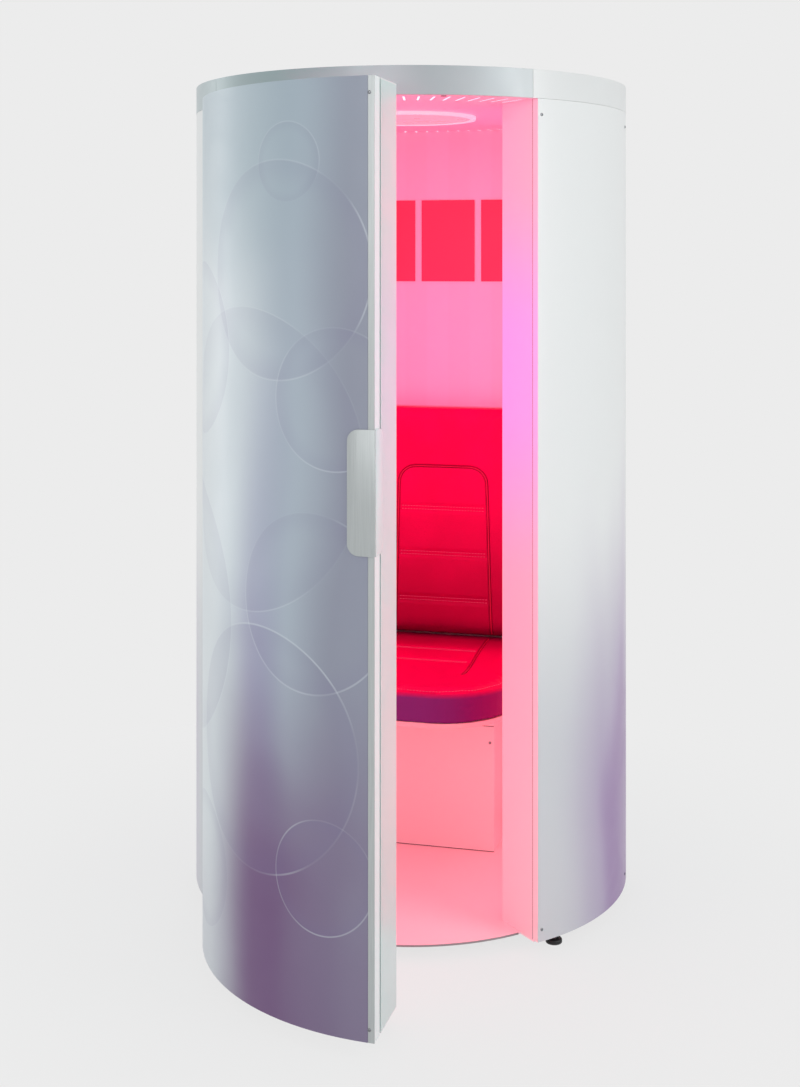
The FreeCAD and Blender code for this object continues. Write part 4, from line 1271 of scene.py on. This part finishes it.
def sewSeat(cushion):
    pad = seatPad
    top = max(vertex.co.z for vertex in cushion.data.vertices)
    seam = top - pad["seamDrop"]
    start = lambda x, y: Vector((x, y, pad["lookFrom"]))
    inward = Vector((0, 0, -1))
    onTop = lambda vertex: vertex.co.z > top - pad["sewnDepth"] and vertex.normal.z > 0.3
    welts = [[(side * x, y) for x, y in pad["welt"]] for side in (1, -1)]
    rows = doubleRows(pad["rows"])
    # the last point of each welt lies over the front edge and stays unshaded
    pressSeams(cushion, surfaceOf(cushion, start, inward), inward, onTop, welts, rows,
               shadeEnd=-1)
    pressBorder(cushion, seam)
    hit, laid = surfaceOf(cushion, start, inward)
    threads = [laid(points, sewing["stitchLift"]) for points in rows] + [borderPath(hit, seam)]
    return (addPiping("seatPiping", laid, welts, pad["weltDips"]),
            stitchAlong("seatStitches", threads))


backPad = {
    "half": 0.262,
    "rear": 0.4445,
    "bottom": 0.5573,
    "top": 1.235,
    "edgeInset": 0.005,
    "startFront": 0.391,
    "cornerRadius": 0.010,
    "sink": 0.003,
    "lookFrom": 0.3,
    "sewnDepth": 0.022,
    "side": ((0.1440, 0.569), (0.1437, 0.576), (0.1434, 0.584), (0.1430, 0.594),
             (0.1426, 0.606), (0.1420, 0.622), (0.1410, 0.65), (0.137, 0.78), (0.134, 0.90),
             (0.131, 0.99)),
    "archCentre": (0.081, 1.002),
    "archRadius": 0.050,
    "archSteps": 8,
    "archTop": ((0.081, 1.052), (0.04, 1.0525)),
    "rows": ((0.930, 0.124), (0.798, 0.128), (0.665, 0.131)),
    "topSeam": (0.250, 1.2235),
}


def makeBackCushion():
    pad = backPad
    inset = pad["edgeInset"]
    obj = addBlock("backCushion",
                   (inset - pad["half"], pad["startFront"], pad["bottom"] - pad["sink"]),
                   (pad["half"] - inset, pad["rear"], pad["top"] - inset))
    soften(obj, pad["cornerRadius"], segments=3)
    return fillOut(obj)


def sewBack(cushion):
    pad = backPad
    front = min(vertex.co.y for vertex in cushion.data.vertices)
    start = lambda x, z: Vector((x, pad["lookFrom"], z))
    inward = Vector((0, 1, 0))
    onFront = lambda vertex: vertex.co.y < front + pad["sewnDepth"] and vertex.normal.y < -0.3
    corner = []
    for step in range(1, pad["archSteps"]):
        a = math.radians(90.0 * step / pad["archSteps"])
        corner.append((pad["archCentre"][0] + pad["archRadius"] * math.cos(a),
                       pad["archCentre"][1] + pad["archRadius"] * math.sin(a)))
    half = [*pad["side"], *corner, *pad["archTop"]]
    welt = half + [(-x, z) for x, z in reversed(half)]
    rows = doubleRows(pad["rows"])
    topSeam = straightRow(*pad["topSeam"], sewing["seamSteps"])
    pressSeams(cushion, surfaceOf(cushion, start, inward), inward, onFront, [welt], rows,
               [topSeam])
    laid = surfaceOf(cushion, start, inward)[1]
    threads = [laid(points, sewing["stitchLift"]) for points in rows]
    return addPiping("backPiping", laid, [welt]), stitchAlong("backStitches", threads)


trimmings = {
    # surface effect, its scale, two tones, roughness at each, relief, specular
    "stitchThread": ("coat", 2600.0, (214, 92, 132), (236, 128, 160), 0.6, 0.6, 0.3, 0.5),
    "pipingVinyl": ("leather", 900.0, (188, 0, 62), (208, 2, 72), 0.32, 0.46, 0.1, 0.3),
    "reliefDepth": 0.0003,
}


def makeTrimming(name):
    grain, scale, low, high, roughLow, roughHigh, relief, specular = trimmings[name]
    material, tree, shader, place, surface = startMaterial(name, grain, scale,
                                                           Specular_IOR_Level=specular)
    color = mixed(tree, surface["Tone"], srgb(*low), srgb(*high))
    rough = linear(tree, surface["Tone"], 0.0, 1.0, roughLow, roughHigh)
    complete(tree, shader, color, rough, surface, relief, trimmings["reliefDepth"])
    return material


thread = makeTrimming("stitchThread")
pipingVinyl = makeTrimming("pipingVinyl")


def finishCushion(cushion, material, node, piping, stitches):
    finishPiece(cushion, "cabin", material, (node,), smooth=None)
    bpy.ops.object.shade_smooth()
    finishPiece(piping, "cabin", pipingVinyl, smooth=50)
    finishPiece(stitches, "cabin", thread, smooth=60)


seatCushion = makeSeatCushion()
finishCushion(seatCushion, makeVinyl("seatVinyl", vinyl["seatPaintedShade"], withPaintedBandShade=True),
              "seat_cushion", *sewSeat(seatCushion))
print("seat cushion sewn")
backCushion = makeBackCushion()
finishCushion(backCushion, finishes["upholstery"], "backrest_cushion", *sewBack(backCushion))
print("back cushion sewn")


# turned pieces

def spinChain(name, points, steps=32):
    # a chain of points, radius and height, spun about Z
    obj = addPlane(name)
    edit(obj)
    bpy.ops.mesh.merge(type="CENTER")
    last = Vector((points[0][0], 0.0, points[0][1]))
    bpy.ops.transform.translate(value=last)
    for x, z in points[1:]:
        place = Vector((x, 0.0, z))
        bpy.ops.mesh.extrude_vertices_move(TRANSFORM_OT_translate={"value": place - last})
        last = place
    bpy.ops.mesh.select_all(action="SELECT")
    bpy.ops.mesh.spin(steps=steps, angle=2.0 * math.pi, center=(0, 0, 0), axis=(0, 0, 1))
    leaveEdit(0.00002)
    return obj


foot = {
    "spots": {"FrontLeft": -54.8, "FrontRight": 54.8, "RearLeft": -125.0, "RearRight": 125.0},
    "reach": 0.529,
    "turn": 0.3,
    "padRadius": 0.020,
    "padHeight": 0.012,
    # how far the pad's outline lies inside its radius, and the height there
    "padOutline": ((0.003, 0.0), (0.0012, 0.0006), (0.0, 0.0022), (0.0, 0.0058),
                   (0.0008, 0.0064), (0.0008, 0.0072), (0.0, 0.0078), (0.0004, 0.0094),
                   (0.0018, 0.0110), (0.0040, 0.0119), (0.0090, 0.012)),
    "nutRadius": 0.0119,
    "nutLow": 0.0122,
    "nutHigh": 0.0205,
    "nutEdge": 0.0008,
    "stemRadius": 0.006,
    "stemTop": 0.078,
    "threadPitch": 0.0022,
    "threadDepth": 0.0007,
}


def makeFoot():
    # rubbered pad, hexagon nut and threaded stem
    size = foot
    z = size["padHeight"]
    outline = [(size["padRadius"] - inset, level) for inset, level in size["padOutline"]]
    pad = spinChain("footPad", [(0.0, 0.0), *outline, (0.0, z)], steps=40)
    clearSelection()
    bpy.ops.mesh.primitive_cylinder_add(vertices=6, radius=size["nutRadius"],
                                        depth=size["nutHigh"] - size["nutLow"],
                                        location=(0, 0, (size["nutHigh"] + size["nutLow"]) / 2.0))
    nut = bpy.context.object
    settle(nut)
    soften(nut, size["nutEdge"])
    root = size["stemRadius"] - size["threadDepth"]
    chain = [(0.0, z)]
    while z < size["stemTop"] - size["threadPitch"]:
        chain += [(root, z), (size["stemRadius"], z + size["threadPitch"] / 2.0)]
        z += size["threadPitch"]
    stem = spinChain("footStem", chain + [(root, z), (0.0, size["stemTop"])], steps=20)
    return joined("footModel", [pad, nut, stem])


footModel = makeFoot()
for spot, angle in foot["spots"].items():
    piece = copyTo(footModel, Matrix.Translation(polar(foot["reach"], angle))
                   @ Matrix.Rotation(foot["turn"], 4, "Z"))
    piece.name = "foot" + spot + "Leveller"
    node = "foot_" + spot.replace("Left", "_left").replace("Right", "_right").lower()
    finishPiece(piece, node, finishes["foot_black"], (node,), smooth=30)
bpy.data.objects.remove(footModel)
print("feet ready")


# the handle, made on the shut door and then swung to where the door rests

handle = {
    "halfAngle": 45.2974,
    "radius": 0.570,
    "sheet": 0.0025,
    "front": 0.060,
    "side": 0.056,
    "low": 1.039,
    "high": 1.301,
    "corner": 0.025,
    "edge": 0.0006,
    "lift": 0.00005,
}


def swingOpen(obj):
    hinge = joints["door_hinge"]
    pivot = Vector(hinge["pos_m"])
    obj.matrix_world = (Matrix.Translation(pivot) @ turned(-hinge["range_deg"][1])
                        @ Matrix.Translation(-pivot) @ obj.matrix_world)
    settle(obj)


def makeHandleOutline():
    # a block whose four free corners are rounded, to trim the bent strip
    size = handle
    reach = size["radius"]
    cutter = addBlock("handleOutline", (-size["front"], -reach - 0.010, size["low"]),
                      (0.010, size["side"] - reach, size["high"]))
    edit(cutter)
    farSide = lambda edge: all(abs(v.co.x + size["front"]) < 1e-5 for v in edge.verts)
    inside = lambda edge: all(abs(v.co.y + reach - size["side"]) < 1e-5 for v in edge.verts)
    level = lambda edge: abs(edge.verts[0].co.z - edge.verts[1].co.z) < 1e-5
    selectIn(cutter, lambda edge: level(edge) and farSide(edge) != inside(edge), "EDGE")
    bpy.ops.mesh.bevel(offset=size["corner"], segments=10, affect="EDGES")
    leaveEdit()
    cutter.matrix_world = turned(size["halfAngle"])
    settle(cutter)
    return cutter


def makeHandle():
    # a strip of sheet bent round the door's edge
    size = handle
    inner = size["radius"] + size["lift"]
    reach = math.degrees((size["front"] + size["sheet"]) / size["radius"])
    strip = addSection("doorHandle", size["halfAngle"] - reach, inner, inner + size["sheet"],
                       size["low"], size["high"])
    spinOn(reach, steps=14)
    spinOn(90, polar(inner, size["halfAngle"]), steps=6)
    bpy.ops.mesh.extrude_region_move(
        TRANSFORM_OT_translate={"value": polar(size["lift"] - size["side"], size["halfAngle"])})
    leaveEdit()
    cutWith(strip, makeHandleOutline(), "INTERSECT")
    soften(strip, size["edge"], sharper=40)
    swingOpen(strip)
    return strip


finishPiece(makeHandle(), "door", makeFoldedMetal("handleMetal", (218, 233, 231)),
            ("door_handle",))
print("handle ready")


screw = {
    "headRadius": 0.0038,
    "headHeight": 0.002,
    # shares of the head's radius and height
    "dome": ((1.0, 0.42), (0.90, 0.68), (0.62, 0.90), (0.30, 0.99), (0.0, 1.0)),
    "shankRadius": 0.0019,
    "shankLength": 0.0085,
    "recessLength": 0.0040,
    "recessWidth": 0.0008,
    "recessDepth": 0.0011,
    "recessTurns": (35, 125),
    "apart": 0.016,
    "eachTurn": 0.9,
}


def makeScrew():
    size = screw
    r = size["headRadius"]
    top = size["headHeight"]
    shank = size["shankRadius"]
    tip = -size["shankLength"]
    obj = spinChain("screwModel", [(0.0, tip), (shank * 0.7, tip), (shank, 0.0007 + tip),
                                   (shank, 0.0), (r - 0.0002, 0.0), (r, 0.0003),
                                   *((r * across, top * up) for across, up in size["dome"])],
                    steps=16)
    for turn in size["recessTurns"]:
        x, y = size["recessLength"] / 2, size["recessWidth"] / 2
        recess = addBlock("recess", (-x, -y, top - size["recessDepth"]), (x, y, top + 0.001))
        recess.matrix_world = turned(turn)
        settle(recess)
        cutWith(obj, recess, "DIFFERENCE")
    return obj


def screwPlaces(node):
    # where each screw of a node stands: the middle of its head's underside, and which way it faces
    clusters = []
    for vertex in nodes[node].data.vertices:
        for cluster in clusters:
            if (cluster[0] - vertex.co).length < screw["apart"]:
                cluster.append(vertex.co.copy())
                break
        else:
            clusters.append([vertex.co.copy()])
    places = []
    for cluster in clusters:
        middle = sum(cluster, Vector()) / len(cluster)
        way = max(cluster, key=lambda p: (p - middle).length) - middle
        for turn in range(30):
            way = sum(((p - middle) * (p - middle).dot(way) for p in cluster), Vector())
            way.normalize()
        depths = [(p - middle).dot(way) for p in cluster]
        low, high = min(depths), max(depths)
        spans = [max(((p - middle) - way * d).length for p, d in zip(cluster, depths)
                     if abs(d - end) < 0.0003) for end in (low, high)]
        # the wider end is the head
        if spans[0] > spans[1]:
            way, high = -way, -low
        places.append((middle + way * (high - screw["headHeight"]), way))
    return places


screwModel = makeScrew()
for name, node, body in (("panelScrewSet", "panel_screws", "cabin"),
                         ("doorScrewSet", "door_screws", "door")):
    copies = [copyTo(screwModel, Matrix.Translation(place)
                     @ way.to_track_quat("Z", "Y").to_matrix().to_4x4()
                     @ Matrix.Rotation(number * screw["eachTurn"], 4, "Z"))
              for number, (place, way) in enumerate(screwPlaces(node))]
    finishPiece(joined(name, copies), body, finishes["fastener"], (node,))
    print(name, len(copies))
bpy.data.objects.remove(screwModel)


# fittings of the ceiling and the doorway

kickGapShadow = {
    "thickness": 0.0010,
    "set": 0.0002,
    "height": 0.0017,
    "edge": 0.0003,
}


def makeKickGapShadow():
    # dark strips in the gaps over and under the kick panel: a painted shadow that stands in for
    # the gaps' shade
    size = kickGapShadow
    places = [vertex.co for vertex in nodes["kick_panel"].data.vertices]
    low = [min(p[i] for p in places) for i in range(3)]
    high = [max(p[i] for p in places) for i in range(3)]
    strips = []
    for level in (low[2] - size["set"] - size["height"], high[2] + size["set"]):
        near = low[1] + size["set"]
        strips.append(addBlock("kickGapShadowStrip", (low[0], near, level),
                               (high[0], near + size["thickness"], level + size["height"])))
        soften(strips[-1], size["edge"])
    return joined("kickGapShadowStrips", strips)


slotInsert = {
    "inner": 0.4415,
    "outer": 0.5275,
    "half": 0.0023,
    "low": 2.0353,
    "high": 2.0379,
    "edge": 0.0006,
    "inset": 0.0007,
    "recess": 0.0005,
    "pitch": 4,
    "skipAngle": -43.2,
    "skip": 6.0,
}


def makeSlotInserts():
    # white louvre strip that fills each air slot, flush with the ceiling; its material's glow is
    # painted light
    size = slotInsert
    strip = addBlock("slotStrip", (-size["half"], -size["outer"], size["low"]),
                     (size["half"], -size["inner"], size["high"]))
    soften(strip, size["edge"])
    edit(strip)
    selectIn(strip, lambda face: face.normal.z < -0.9)
    bpy.ops.mesh.inset(thickness=size["inset"], depth=-size["recess"])
    leaveEdit()
    copies = [copyTo(strip, turned(angle)) for angle in range(-180, 180, size["pitch"])
              if abs(angle - size["skipAngle"]) > size["skip"]]
    bpy.data.objects.remove(strip)
    return joined("airSlotStrips", copies)


airFilter = {
    "inner": 0.436,
    "outer": 0.5285,
    "low": 2.0384,
    "high": 2.0414,
    "gapAngle": -43.2,
    "gapHalf": 6.0,
}


def makeFilterMat():
    # white filter mat that lies on the ceiling over the air slots; its material's glow is painted
    # light
    size = airFilter
    ring = addSection("slotFilterMat", size["gapAngle"] + size["gapHalf"], size["inner"],
                      size["outer"], size["low"], size["high"])
    spinOn(360 - 2 * size["gapHalf"], steps=90)
    leaveEdit()
    return ring


doorwayTrim = {
    "angle": 45.8,
    "seamRadius": 0.5490,
    "seamHalf": 0.0007,
    "seamDepth": 0.0010,
    "seamEdge": 0.00015,
    "proud": 0.0003,
    "low": 0.036,
    "high": 2.0345,
    "floorRadius": 0.5001,
    "floorSheet": 0.0014,
    "floorLow": 0.0308,
    "floorHigh": 0.0356,
    "floorHalfAngle": 45.0,
    "floorEdge": 0.0005,
}


def makeJambSeamShadow():
    # grey strip in the seam between the jamb and the side panel's fold: a painted shadow line that
    # stands in for the seam's shade
    size = doorwayTrim
    seal = addBlock("jambSeamShadow", (-size["proud"], -size["seamRadius"] - size["seamHalf"],
                                 size["low"]),
                    (size["seamDepth"], size["seamHalf"] - size["seamRadius"], size["high"]))
    edit(seal)
    bpy.ops.mesh.subdivide(number_cuts=2)
    bpy.ops.object.mode_set(mode="OBJECT")
    soften(seal, size["seamEdge"], sharper=30)
    seal.matrix_world = turned(size["angle"])
    settle(seal)
    return seal


def makeFloorEdge():
    # rounded metal edge on the front of the floor plate
    size = doorwayTrim
    inner = size["floorRadius"]
    half = size["floorHalfAngle"]
    edge = addSection("floorEdgeTrim", -half, inner, inner + size["floorSheet"],
                      size["floorLow"], size["floorHigh"])
    spinOn(2 * half, steps=60)
    leaveEdit()
    soften(edge, size["floorEdge"], sharper=50)
    return edge


finishPiece(makeKickGapShadow(), "cabin",
            coatedFinish("paintedGapShadow", (70, 40, 46), 0.7, peel=0.2))
finishPiece(makeSlotInserts(), "cabin",
            coatedFinish("slotWhitePaintedGlow", (255, 236, 240), 0.45, peel=0.05,
                         glow=(1.0, 0.80, 0.86, 1.0), glowStrength=0.9))
finishPiece(makeJambSeamShadow(), "cabin",
            coatedFinish("paintedSeamShadowGrey", (116, 92, 98), 0.6, peel=0.2))
finishPiece(makeFloorEdge(), "cabin",
            coatedFinish("floorEdgeGrey", (150, 146, 148), 0.4, metallic=0.3))
finishPiece(makeFilterMat(), "cabin",
            coatedFinish("filterFleecePaintedGlow", (255, 226, 232), 0.9, peel=0.5, scale=420.0,
                         glow=(1.0, 0.72, 0.78, 1.0), glowStrength=0.55))
print("ceiling and doorway fittings ready")


print("scene done")
